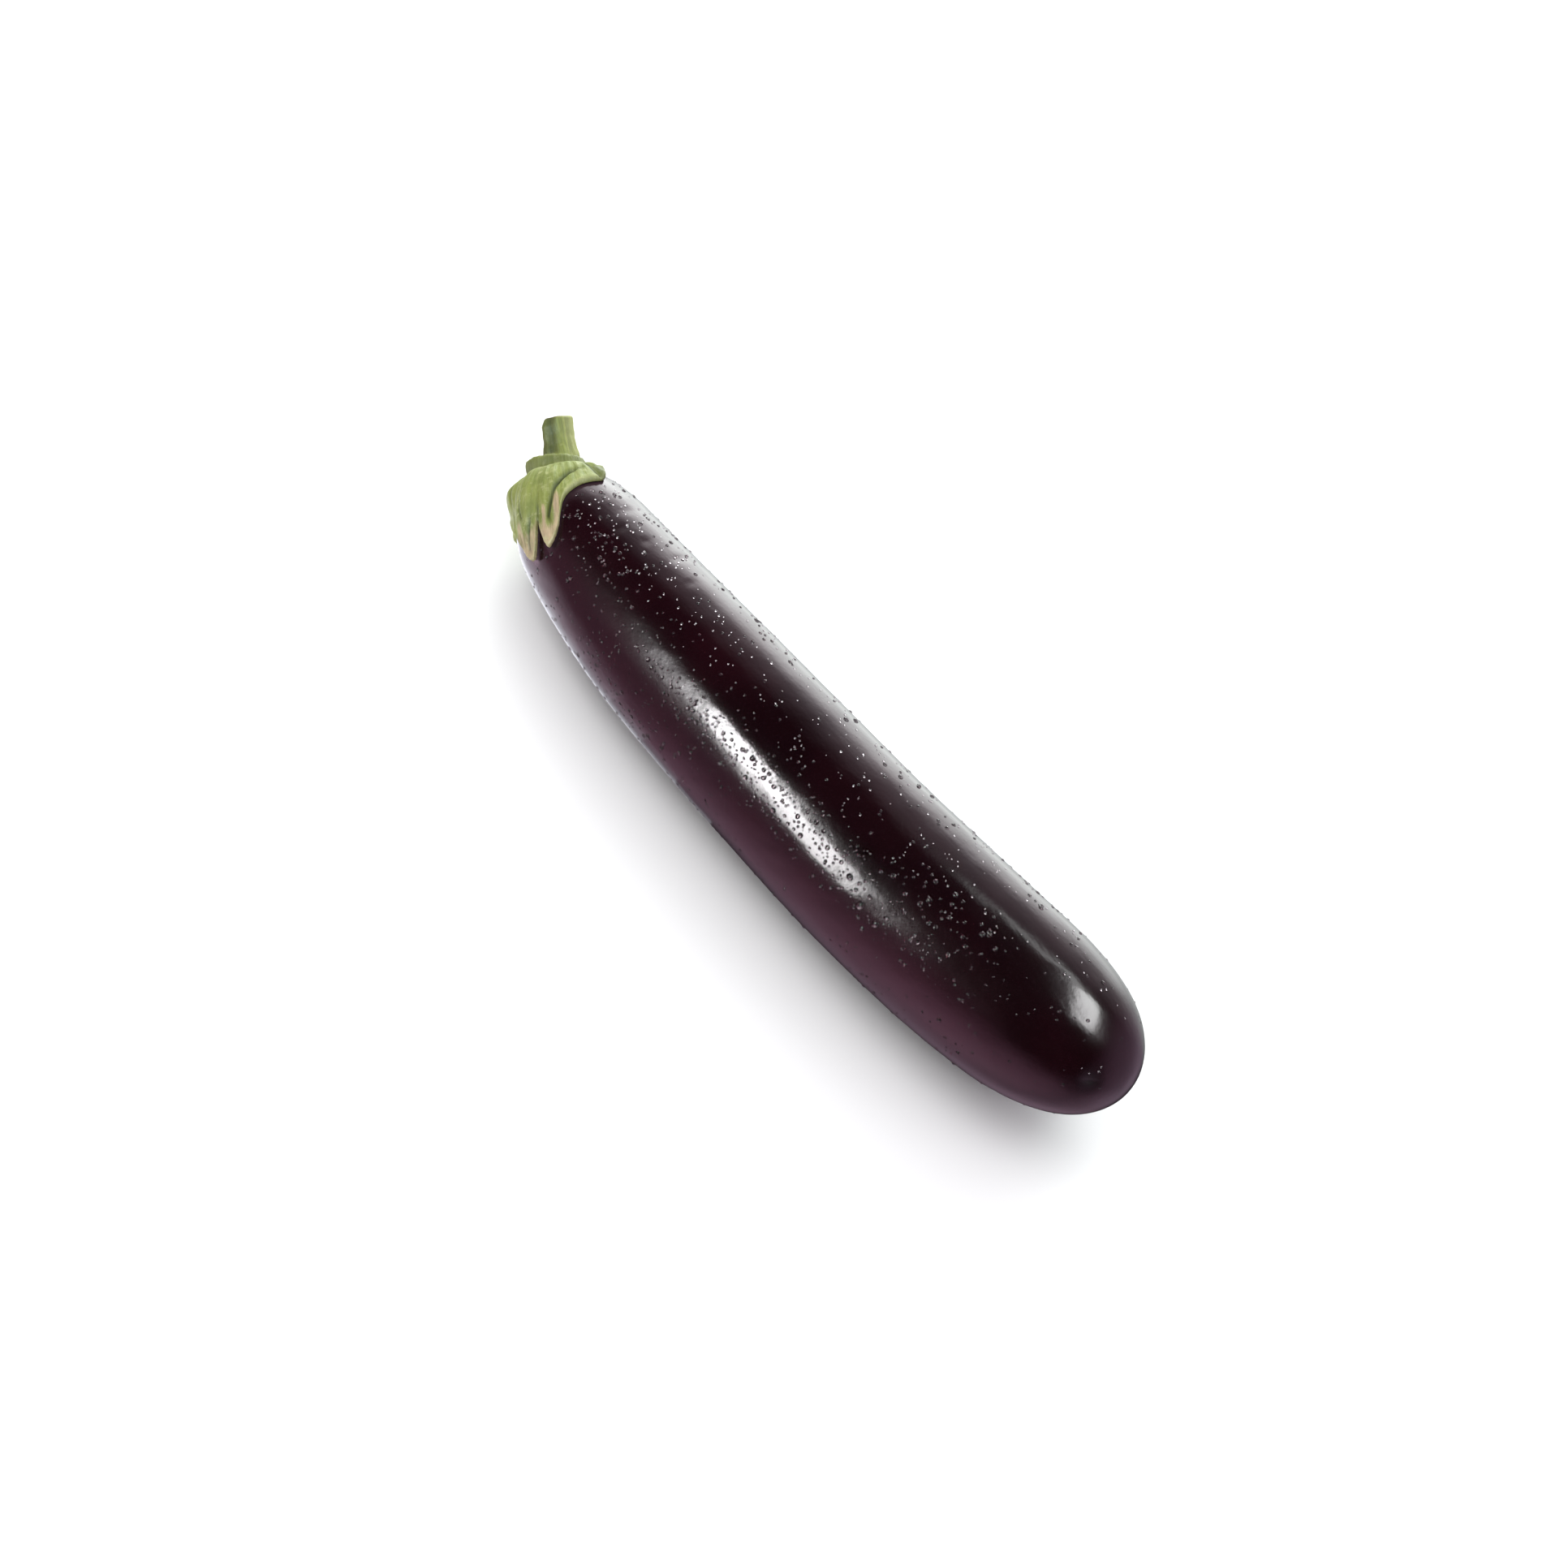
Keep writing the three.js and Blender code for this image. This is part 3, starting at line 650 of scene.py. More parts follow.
class Shader:
    """A material under construction, with short ways to add and join its nodes."""

    def __init__(self, name):
        self.material = bpy.data.materials.new(name)
        self.material.use_nodes = True
        self.tree = self.material.node_tree
        self.surface = self.tree.nodes["Principled BSDF"]
        self.node = functools.partial(add_node, self.tree)
        self.where = self.node("ShaderNodeTexCoord", "Object")

    def attribute(self, name, output="Fac"):
        return self.node("ShaderNodeAttribute", output, attribute_name=name)

    def noise(self, scale, detail=3.0, roughness=0.5, vector=None, stretch=None):
        source = self.where if vector is None else vector
        if stretch is not None:
            source = self.node("ShaderNodeMapping", "Vector", {"Vector": source, "Scale": stretch})
        values = {"Vector": source, "Scale": scale, "Detail": detail, "Roughness": roughness}
        return self.node("ShaderNodeTexNoise", "Fac", values)

    def ramp(self, value, *stops):
        """Turns one number into another, between two (place, value) stops."""
        node = self.tree.nodes.new("ShaderNodeValToRGB")
        for element, (place, shade) in zip(node.color_ramp.elements, stops):
            element.position = place
            element.color = (shade, shade, shade, 1)
        self.tree.links.new(value, node.inputs["Fac"])
        return node.outputs["Color"]

    def maths(self, operation, a, b):
        return self.node("ShaderNodeMath", 0, {0: a, 1: b}, operation=operation)

    def blend(self, share, *colours):
        """Blends from the first colour to the second; each is plain or comes from a node."""
        a, b = (value if isinstance(value, bpy.types.NodeSocket) else (*value, 1) for value in colours)
        return self.node("ShaderNodeMix", "Result", {"Factor": share, "A": a, "B": b}, data_type="RGBA")

    def layers(self, colour, *layers):
        """Lays colours over a first one, each by its own share."""
        for share, above in layers:
            colour = self.blend(share, colour, above)
        return colour

    def reliefs(self, *layers):
        """Bumps laid over one another, each from a height and a depth in metres."""
        below = {}
        for height, depth in layers:
            values = {"Height": height, "Distance": depth, **below}
            below = {"Normal": self.node("ShaderNodeBump", "Normal", values)}
        return below["Normal"]

    def set(self, **values):
        for name, value in values.items():
            put(self.tree, self.surface.inputs[name.replace("_", " ")], value)


# ---------- Materials ----------

def darker(colour, share):
    return tuple(value * share for value in colour)


def skin_material(settings):
    """Near-black maroon skin under a thin waxy gloss, paler and violet beside the calyx."""
    skin = Shader("eggplant_skin")
    cloudy = skin.noise(28, 4, 0.55)
    speckle = skin.noise(1500, 2, 0.6)
    lengthwise = skin.noise(60, 3, 0.6, stretch=(0.15, 1, 1))
    body = skin.layers(
        settings.dark,
        (skin.ramp(cloudy, (0.35, 0.0), (0.7, 1.0)), settings.maroon),
        (skin.ramp(speckle, (0.55, 0.0), (0.8, 0.5)), (0.011, 0.004, 0.0065)),
        (skin.attribute("sheltered"), settings.sheltered),
        (skin.attribute("scar"), (0.004, 0.002, 0.003)),
    )
    gloss = skin.maths("MULTIPLY", skin.ramp(lengthwise, (0.3, 0.75), (0.75, 1.25)), settings.roughness)
    gloss = skin.maths("ADD", gloss, skin.maths("MULTIPLY", skin.attribute("scar"), 0.28))
    ripples = skin.noise(110, 3, 0.5, stretch=(0.5, 1, 1))
    relief = skin.reliefs((skin.noise(900, 3, 0.6), 0.00002), (ripples, 0.00022))
    skin.set(Base_Color=body, Roughness=gloss, IOR=1.35, Specular_Tint=(1.0, 0.75, 0.87, 1), Normal=relief)
    return skin.material


def green_material(name, settings, tan, flow_stretch, roughness):
    """Leafy green, streaked lengthwise, with painted shade in its furrows and dried to tan where the piece says so."""
    green, dark, pale = settings.green, settings.dark, settings.pale
    leaf = Shader(name)
    flow = leaf.attribute("flow", "Vector")
    streaks = leaf.noise(1.0, 5, 0.62, flow, flow_stretch)
    fine = leaf.noise(2.6, 4, 0.6, flow, flow_stretch)
    patches = leaf.noise(160, 3, 0.5)
    bruises = leaf.noise(420, 3, 0.6)
    uneven = leaf.maths("MULTIPLY", leaf.maths("SUBTRACT", fine, 0.5), 0.9)
    dryness = leaf.maths("ADD", leaf.attribute("dry"), uneven)
    tan_streaks = leaf.blend(leaf.ramp(fine, (0.35, 0.0), (0.7, 1.0)), darker(tan, 0.62), tan)
    body = leaf.layers(
        dark,
        (leaf.ramp(streaks, (0.25, 0.0), (0.62, 1.0)), green),
        (leaf.ramp(fine, (0.5, 0.0), (0.8, 0.45)), pale),
        (leaf.ramp(dryness, (0.38, 0.0), (0.72, 1.0)), tan_streaks),
        # Paleness: real margins, lips and foot, plus painted light on the crown's top, below the drum's wall and on
        # one side of the stalk.
        (leaf.attribute("pale"), pale),
        (leaf.ramp(patches, (0.48, 0.0), (0.68, 0.5)), darker(dark, 0.8)),
        (leaf.ramp(bruises, (0.56, 0.0), (0.72, 0.5)), pale),
        # Painted shade in furrows, creases and shaded places, and the dark ring on the stalk's cut face.
        (leaf.attribute("furrow"), darker(dark, 0.2)),
    )
    grains = (leaf.noise(2200, 3, 0.6), 0.00003), (leaf.noise(700, 2, 0.5), 0.00012)
    relief = leaf.reliefs(*grains, (fine, 0.00014))
    leaf.set(Base_Color=body, Roughness=leaf.ramp(patches, (0.3, roughness - 0.1), (0.7, roughness + 0.12)),
             Specular_IOR_Level=0.25, Subsurface_Weight=0.1, Subsurface_Scale=0.0012,
             Subsurface_Radius=(0.6, 1.0, 0.25), Normal=relief)
    return leaf.material


def water_material():
    water = Shader("water")
    water.set(Base_Color=(0.5, 0.44, 0.47, 1), Roughness=0.2, IOR=1.25, Transmission_Weight=1.0)
    return water.material


def floor_material(colour):
    floor = Shader("pale_floor")
    cloudy = floor.blend(floor.noise(3, 2), colour, darker(colour, 0.985))
    floor.set(Base_Color=cloudy, Roughness=0.7, Specular_IOR_Level=0.2)
    return floor.material


# ---------- Settings that a user would change ----------

ColourProperty = functools.partial(FloatVectorProperty, subtype="COLOR")


class EGGPLANT_PG_fruit(bpy.types.PropertyGroup):
    rows: IntProperty(name="Rows", description="Rows of faces along the fruit", default=330, min=60)
    sides: IntProperty(name="Sides", description="Faces round the fruit", default=200, min=48)
    dark: ColourProperty(name="Dark", description="Darkest skin", default=(0.0048, 0.0007, 0.0015))
    maroon: ColourProperty(name="Maroon", description="Reddest skin", default=(0.0105, 0.0014, 0.0030))
    sheltered: ColourProperty(name="Sheltered", description="Pale skin beside the calyx",
                              default=(0.19, 0.12, 0.16))
    roughness: FloatProperty(name="Roughness", description="Roughness of the skin",
                             default=0.185, min=0, max=1)
    undulation: FloatProperty(name="Undulation", description="Depth of the skin's slow unevenness, in mm",
                              default=0.22, min=0)


class EGGPLANT_PG_calyx(bpy.types.PropertyGroup):
    green: ColourProperty(name="Green", description="Body of the sepals", default=(0.20, 0.232, 0.050))
    # This dark green, made darker, is also the painted shade in the furrows and creases.
    dark: ColourProperty(name="Dark green", description="Streaks and crown", default=(0.115, 0.14, 0.022))
    # The pale also gives painted light on the crown's top and below the drum's wall.
    pale: ColourProperty(name="Pale", description="Margins and lips", default=(0.41, 0.42, 0.21))
    tan: ColourProperty(name="Dry", description="Dried tips", default=(0.46, 0.35, 0.21))
    edge_step: FloatProperty(name="Edge step", description="Length of a face along the cap's edge, in mm",
                             default=0.42, min=0.2)
    leaf_rows: IntProperty(name="Leaf rows", description="Rows of faces from crown to edge",
                           default=40, min=8)
    roughness: FloatProperty(name="Roughness", description="Roughness of the sepals",
                             default=0.55, min=0, max=1)


class EGGPLANT_PG_stalk(bpy.types.PropertyGroup):
    green: ColourProperty(name="Green", description="Flanks of the stalk", default=(0.25, 0.29, 0.055))
    # This dark green, made darker, is also the painted shade in the valleys and down one flank.
    dark: ColourProperty(name="Dark green", description="Valleys of the stalk", default=(0.085, 0.11, 0.01))
    # The pale also gives painted light on one side of the stalk.
    pale: ColourProperty(name="Pale", description="Ridges and foot", default=(0.42, 0.44, 0.19))
    cut: ColourProperty(name="Cut", description="Dried cut end", default=(0.34, 0.27, 0.15))
    sides: IntProperty(name="Sides", description="Faces round the stalk", default=140, min=24)
    rows: IntProperty(name="Rows", description="Rows of faces along the stalk", default=56, min=8)


class EGGPLANT_PG_drops(bpy.types.PropertyGroup):
    mist: IntProperty(name="Fine drops", description="Number of fine drops", default=2600, min=0)
    mist_radius: FloatProperty(name="Fine radius", description="Usual radius of a fine drop, in mm",
                               default=0.3, min=0.05)
    contact: FloatProperty(name="Contact angle", description="Angle at which a drop meets the skin",
                           subtype="ANGLE", default=math.radians(52),
                           min=math.radians(20), max=math.radians(88))
    seed: IntProperty(name="Seed", description="Fixes where the drops fall", default=11)


class EGGPLANT_PG_stage(bpy.types.PropertyGroup):
    floor: ColourProperty(name="Floor", description="Colour of the floor", default=(0.86, 0.86, 0.87))
    lens: FloatProperty(name="Lens", description="Focal length", subtype="DISTANCE_CAMERA", default=74.46)
    world: FloatProperty(name="Ambient", description="Strength of the room's light", default=1.0, min=0)
    highlights: FloatProperty(name="Highlights", description="Power of the lights seen in the skin",
                              unit="POWER", default=24.0, min=0)
    fill: FloatProperty(name="Fill", description="Power of the wide soft lights", unit="POWER",
                        default=29.0, min=0)


# ---------- Operators ----------

class EGGPLANT_OT_fruit(bpy.types.Operator):
    """Makes the fruit: the bent body with its dents, slow unevenness and blossom scar"""
    bl_idname = "eggplant.fruit"
    bl_label = "Fruit"

    def execute(self, context):
        settings = context.scene.eggplant_fruit
        lengths = lengths_along(PROFILE)
        even = np.arange(1, settings.rows) / settings.rows
        crowded = even - ROW_CROWDING * np.sin(4 * np.pi * even)
        along, radius = at_lengths(crowded[:, None] * lengths[-1], lengths, PROFILE)
        angle = round_angles(settings.sides)[None]
        points = fruit_skin_point(along, radius, angle)
        inwards = unit(axis_point(along) - points)
        points = points + inwards * self.relief(along, angle, points)[..., None]
        points, scar = self.scarred(points)
        floor = points[..., 2].min() + FLAT_SPOT_DEPTH
        points[..., 2] = np.maximum(points[..., 2], floor)
        points[..., 2] -= points[..., 2].min()
        ends = [axis_point(np.array(place, float)) for place, _ in (FRUIT_PROFILE[0], FRUIT_PROFILE[-1])]
        turn, lean = cap_places(points)
        beyond = lean - edge_lean_at(turn, cap_edge_curve())
        near_stem = 1 - smooth(*SHELTER["end"], np.broadcast_to(along, beyond.shape))
        under_tip = mix(SHELTER["least"], 1, near_turn(turn, SHELTER["turn"], SHELTER["half_width"]))
        sheltered = under_tip * np.exp(-np.maximum(beyond, 0) / SHELTER["fade"]) * near_stem
        piece = body_from_rings("fruit_skin", ends[0], points, ends[1], {
            "sheltered": (1.0, sheltered, 0.0),
            "scar": (0.0, scar, 0.0),
        })
        finish_piece(piece, skin_material(settings), "fruit")
        return {"FINISHED"}

    def relief(self, along, angle, points):
        """Depth in mm below the smooth skin, everywhere a little, and more in the dents."""
        depth = unevenness(points)
        for at, degrees, length, width, hollow in DENTS:
            around = turn_gap(np.degrees(angle), degrees) * np.pi / 180 * fruit_radius(at)
            depth = depth + hollow * bump(np.hypot((along - at) / width, around / length))
        return depth

    def scarred(self, points):
        """The points sunk round the blossom scar, and how scarred each is."""
        centre, inwards = self.scar_place(BLOSSOM_SCAR["along"], BLOSSOM_SCAR["angle"])
        distance = np.linalg.norm(points - centre, axis=-1)
        depth = BLOSSOM_SCAR["depth"] * bump(distance / BLOSSOM_SCAR["radius"])
        pit, _ = self.scar_place(SCAR_PIT["along"], SCAR_PIT["angle"])
        away = points - pit
        distance = np.linalg.norm(away, axis=-1)
        side = unit(np.cross(inwards, UP))
        across = bump(away @ np.cross(inwards, side) / SCAR_PIT["across"])
        depth += SCAR_PIT["depth"] * across * bump(away @ side / SCAR_PIT["long"])
        return points + inwards * depth[..., None], bump(distance / SCAR_PIT["dark"])

    def scar_place(self, along, degrees):
        """A point on the skin near the tip, and the direction into the fruit there."""
        point = fruit_skin_point(along, fruit_radius(along), np.radians(degrees))
        return point, unit(axis_point(BLOSSOM_SCAR["towards"]) - point)


class EGGPLANT_OT_calyx(bpy.types.Operator):
    """Makes the calyx: five sepals with veins, furrows, thick margins and dried tips"""
    bl_idname = "eggplant.calyx"
    bl_label = "Calyx"

    def execute(self, context):
        settings = context.scene.eggplant_calyx
        turn, edge = self.places(settings)
        inner_leans = edge * np.linspace(0, 1, INSIDE_ROWS + 1)[1:, None]
        outer_leans = self.outside_leans(settings, turn, edge)[::-1]
        leans = np.vstack([inner_leans, outer_leans])
        turns, edges = np.broadcast_arrays(turn, edge, leans)[:2]
        rows = len(inner_leans)
        inner = self.inside(turns[:rows], inner_leans, edges[:rows])
        outer, furrow = self.outside(turns[rows:], outer_leans, edges[rows:])
        dry, pale = self.colouring(turns, leans, edges)
        flow = on_circle(np.radians(turns), 9, leans / 26)
        ends = (CAP_CENTRE + CROWN_AXIS * (skin_distance(CROWN_AXIS) + CLEARANCE), CROWN_TOP)
        piece = body_from_rings("calyx_leaves", ends[0], np.vstack([inner, outer]), ends[1], {
            "flow": ((0, 0, 0), flow, (0, 0, 0)),
            "dry": (0.0, dry, 0.0),
            "pale": (0.0, pale, 0.4),
            "furrow": (0.0, np.vstack([np.zeros(inner_leans.shape), furrow]), 0.0),
        })
        material = green_material("calyx_green", settings, settings.tan, (1.6, 1.6, 1.0), settings.roughness)
        finish_piece(piece, material, "calyx")
        return {"FINISHED"}

    def places(self, settings):
        """Turn and lean of points along the cap's edge, at even steps on the skin."""
        curve = cap_edge_curve()
        ray = cap_ray(curve[:, 0], curve[:, 1])
        points = ray * skin_distance(ray)[:, None]
        lengths = lengths_along(points)
        count = round(lengths[-1] / settings.edge_step)
        steps = np.arange(count) * lengths[-1] / count
        turn, lean = at_lengths(steps, lengths, curve)
        ragged = 0.5 * np.sin(turn * 1.7) * np.sin(turn * 0.83 + 1) + 0.35 * np.sin(turn * 4.1 + 2)
        return turn, lean + ragged * smooth(55, 75, lean)

    def outside_leans(self, settings, turn, edge):
        """Leans of every row on the outside: over the drum's top, down its wall, then out to the edge."""
        drum_end, wall_end = crown_lean(turn), wall_lean(turn)
        rows = [drum_end * share for share in np.linspace(0.08, 1, DRUM_ROWS)]
        rows += [drum_end + CROWN_DRUM["wall"] * share for share in np.linspace(0, 1, WALL_ROWS + 1)[1:]]
        to_degrees = np.degrees(1 / CAP_REACH)
        lip_start = edge - RIM["lip"] * to_degrees
        rows += [mix(wall_end, lip_start, share) for share in np.linspace(0, 1, settings.leaf_rows + 1)[1:]]
        rows += [edge - RIM["lip"] * share * to_degrees for share in (0.7, 0.42, 0.2, 0.06, 0)]
        return np.array(rows)

    def lift(self, turn, lean, edge):
        to_edge = np.clip(lean / edge, 0, 1)
        margin = 0.22 * smooth(0.75, 1, to_edge) * (0.6 + 0.4 * waves(turn, 7))
        curl = TIP_CURL["height"] * smooth(TIP_CURL["from"], TIP_CURL["to"], lean)
        return CLEARANCE - 0.2 + ROLLED_SEPAL["lift"] * rolled_share(turn, lean) + margin + curl

    def inside(self, turn, lean, edge):
        ray = cap_ray(turn, lean)
        return CAP_CENTRE + ray * (skin_distance(ray) + self.lift(turn, lean, edge))[..., None]

    def outside(self, turn, lean, edge):
        ray = cap_ray(turn, lean)
        from_edge = np.radians(edge - lean) * CAP_REACH
        crown = 1 - smooth(15, 24, lean)
        veins = waves(turn, 47) + 0.7 * waves(turn, 31, lean * 0.05)
        veins = VEINS["height"] * 0.5 * veins * smooth(*VEINS["fade"], lean)
        furrow = np.zeros(turn.shape)
        cut = np.zeros(turn.shape)
        for depth, half_width, dark, line in FURROWS:
            distance, strength = to_furrow(line, turn, lean)
            cut = np.maximum(cut, depth * (bump(distance / half_width) * strength))
            # Painted shade along each furrow, as dark as the furrow's darkness.
            furrow = np.maximum(furrow, dark * bump(distance / (0.8 * half_width)) * strength)
        margin = RIM["height"] * near(from_edge, 1.3, RIM["width"]) * smooth(25, 40, lean)
        thickness = cap_thickness(turn, lean, edge) + veins + margin - cut
        rounding = np.clip(1 - from_edge / RIM["lip"], 0, 1)
        thickness = thickness * np.sqrt(np.clip(1 - rounding**2 * 0.97, 0, 1))
        leaf = skin_distance(ray) + self.lift(turn, lean, edge) + np.maximum(thickness, 0.12)
        drum_end, wall_end = crown_lean(turn), wall_lean(turn)
        shoulder = CROWN_SHOULDER["height"] * smooth(*CROWN_SHOULDER["rise"], lean)
        shoulder = shoulder * near_turn(turn, CROWN_DRUM["widest_turn"], CROWN_SHOULDER["across"])
        lip = STALK_LIP["height"] * near(lean, STALK_LIP["lean"], STALK_LIP["half_width"])
        wrinkles = 0.12 * waves(turn, 23) * waves(turn, 9, 1) * smooth(9, 15, lean)
        drum = CROWN_TOP_TO_CENTRE + shoulder + lip + wrinkles
        drum = drum / np.cos(np.radians(np.minimum(lean, wall_end)))
        distance = mix(drum, leaf, smooth(drum_end, wall_end, lean))
        # Painted shade: at the foot of the drum's wall and on its lower part, on the rolled sepal, and over shaded
        # patches of the top sepal.
        crease_shade = 0.45 * near(lean - wall_end, 0.4, 1.1) + 0.35 * near(lean - wall_end, -2.2, 1.6)
        shaded_end = 0.62 * between(turn, (26, 40), (98, 108)) * smooth(17, 21, lean)
        shaded_end = np.maximum(shaded_end, 0.5 * between(turn, (1, 6), (28, 40)) * smooth(31, 37, lean))
        furrow = np.maximum(furrow * (1 - crown), crease_shade + 0.52 * rolled_share(turn, lean) + shaded_end)
        return CAP_CENTRE + ray * distance[..., None], np.clip(furrow, 0, 1)

    def colouring(self, turn, lean, edge):
        """How dried and how pale the cap is at these places; part of the paleness is painted light."""
        from_edge = np.radians(edge - lean) * CAP_REACH
        dry = [smooth(66, 92, lean + 3 * waves(turn, 19))]
        for middle, width, start, full, share in DRY_TIPS:
            dry.append(share * near_turn(turn, middle, width) * smooth(start, full, lean))
        drum_end, wall_end = crown_lean(turn), wall_lean(turn)
        margin = 0.55 * near(from_edge, 0.7, 0.9) * smooth(-45, -30, turn) * (1 - smooth(60, 100, lean))
        # Painted highlight: a pale band just outside the drum's wall, held back over the top sepal's shaded end.
        shoulder = near(lean - wall_end, 3.5, 2.2) * (0.6 + 0.4 * waves(turn, 5))
        pale = [
            # the real pale margin, held back on the rolled sepal so that it keeps its painted shade
            margin * (1 - 0.85 * rolled_share(turn, lean)),
            # painted light: the crown's top is made paler
            0.5 * (1 - smooth(drum_end - 3, drum_end, lean)),
            0.4 * near(from_edge, 0.5, 0.8),
            0.75 * shoulder * (1 - 0.7 * between(turn, (20, 36), (98, 108))),
            0.8 * near(lean, STALK_LIP["lean"], 1.8),
        ]
        return np.maximum.reduce(dry), np.maximum.reduce(pale)


class EGGPLANT_OT_stalk(bpy.types.Operator):
    """Makes the stalk: a ribbed stem that bends a little, with a rough cut end"""
    bl_idname = "eggplant.stalk"
    bl_label = "Stalk"

    def execute(self, context):
        settings = context.scene.eggplant_stalk
        foot = CROWN_TOP + CROWN_AXIS * CLEARANCE - CAP_ACROSS * STALK_OFF_CENTRE
        knee = foot + CROWN_AXIS * STALK_LENGTH / 2
        cut = knee + STALK_END_DIRECTION * (STALK_LENGTH / 2 - STALK_TRIM)
        angle = round_angles(settings.sides)
        across = np.cos(angle) * (np.cross(CAP_UP, CROWN_AXIS) @ CAP_ACROSS)
        uppermost = np.sin(angle)

        def ring(share, radius, dip=0.0):
            centre = foot * (1 - share) ** 2 + 2 * knee * share * (1 - share) + cut * share**2
            direction = unit(2 * (1 - share) * (knee - foot) + 2 * share * (cut - knee))
            sideways = unit(np.cross(CAP_UP, direction))
            upwards = np.cross(direction, sideways)
            out = directions(sideways, upwards, angle) * np.asarray(radius)[..., None]
            return centre + out - direction * np.asarray(dip)[..., None]

        def ribbed(share, radius):
            lean = angle + STALK_TWIST * share
            ribs = STALK_RIBS["height"] * np.cos(STALK_RIBS["count"] * angle)
            fine = STALK_FINE_RIBS["height"] * np.cos(STALK_FINE_RIBS["count"] * lean + 1.3)
            knots = 0.08 * np.sin(share * 21 + 2 * np.cos(angle)) * np.sin(3 * angle + 4 * share)
            worn = STALK_WORN * smooth(0.78, 1, share) * np.clip(-across, 0, 1) ** 2
            return radius + ribs + (fine + knots) * (1 - smooth(0.7, 0.95, share)) - worn

        bevel = STALK_CUT_BEVEL / STALK_LENGTH
        # Every row is a ring, its share of the length and its inset, from the foot to the middle of the cut.
        rows = [(ring(0, ribbed(0, STALK_RADIUS["foot"]), STALK_ROOT), 0.0, 0.0)]
        for share in (1 - bevel) * np.arange(settings.rows + 1) / settings.rows:
            rows.append((ring(share, ribbed(share, self.radius(share))), share, 0.0))
        for step in np.linspace(0, 1, BEVEL_ROWS + 1)[1:]:  # rounded shoulder of the cut
            share = 1 - bevel + bevel * math.sin(step * math.pi / 2)
            inset = STALK_CUT_BEVEL * (1 - math.cos(step * math.pi / 2))
            rows.append((ring(share, ribbed(share, self.radius(1)) - inset), share, 0.3 * step))
        rim = ribbed(1, self.radius(1)) - STALK_CUT_BEVEL
        for step in np.linspace(0, 1, FACE_ROWS + 1)[1:-1]:  # the cut face, hollow towards its pith
            inset = smooth(0, 0.35, step)
            rough = STALK_FACE["rough"] * np.sin(5 * angle + 9 * step) * np.sin(11 * angle - 6 * step) * inset
            dip = STALK_FACE["rim"] * inset + STALK_FACE["hollow"] * smooth(0.45, 0.85, step) + rough * 0.6
            rows.append((ring(1.0, rim * (1 - step), np.maximum(dip, 0.02)), 1.0, 0.3 + 0.7 * step))
        rings, *columns = zip(*rows)
        shares, insets = (np.array(column)[:, None] * np.ones(settings.sides) for column in columns)
        flow = on_circle(angle + STALK_TWIST * shares, 4, shares * 1.5 + insets * 3)
        valley = 0.5 - 0.5 * np.cos(STALK_RIBS["count"] * angle)
        dry = np.maximum(smooth(0.05, 0.3, insets), 0.55 * smooth(0.86, 1, shares))
        # Pale at the foot, and paler towards one side as painted light.
        pale = np.maximum(0.75 * (1 - smooth(0.02, 0.14, shares)), 0.6 * smooth(-0.5, 0.6, across))
        # Painted shade in the valleys between the ribs.
        furrow = 0.45 * smooth(0.55, 1, valley) * (1 - smooth(0.1, 0.3, insets)) * smooth(0.02, 0.2, shares)
        # Painted shade down the other flank of the stalk.
        shaded = 0.75 * near(across, -0.82, 0.42) * smooth(-0.7, 0.0, uppermost) * smooth(0.05, 0.2, shares)
        # All the painted shade, and a dark ring on the cut face.
        furrow = np.maximum.reduce([furrow * 0.6, shaded, 0.8 * near(insets, 0.78, 0.06)])
        ends = [ring(share, 0 * angle, dip)[0] for share, dip in ((0, STALK_ROOT), (1.0, STALK_PITH))]
        piece = body_from_rings("stalk_stem", ends[0], rings, ends[1], {
            "flow": ((0, 0, 0), flow, (0, 0, 4)),
            "dry": (0.0, dry, 1.0),
            "pale": (0.7, pale, 0.0),
            "furrow": (0.0, furrow, 0.0),
        })
        material = green_material("stalk_green", settings, settings.cut, (1.8, 1.8, 0.7), 0.58)
        finish_piece(piece, material, "stalk")
        return {"FINISHED"}

    def radius(self, share):
        size = STALK_RADIUS
        if share < size["waist_at"]:
            return mix(size["foot"], size["waist"], smooth(0, size["waist_at"], share))
        return mix(size["waist"], size["cut"], smooth(size["waist_at"], 1, share))


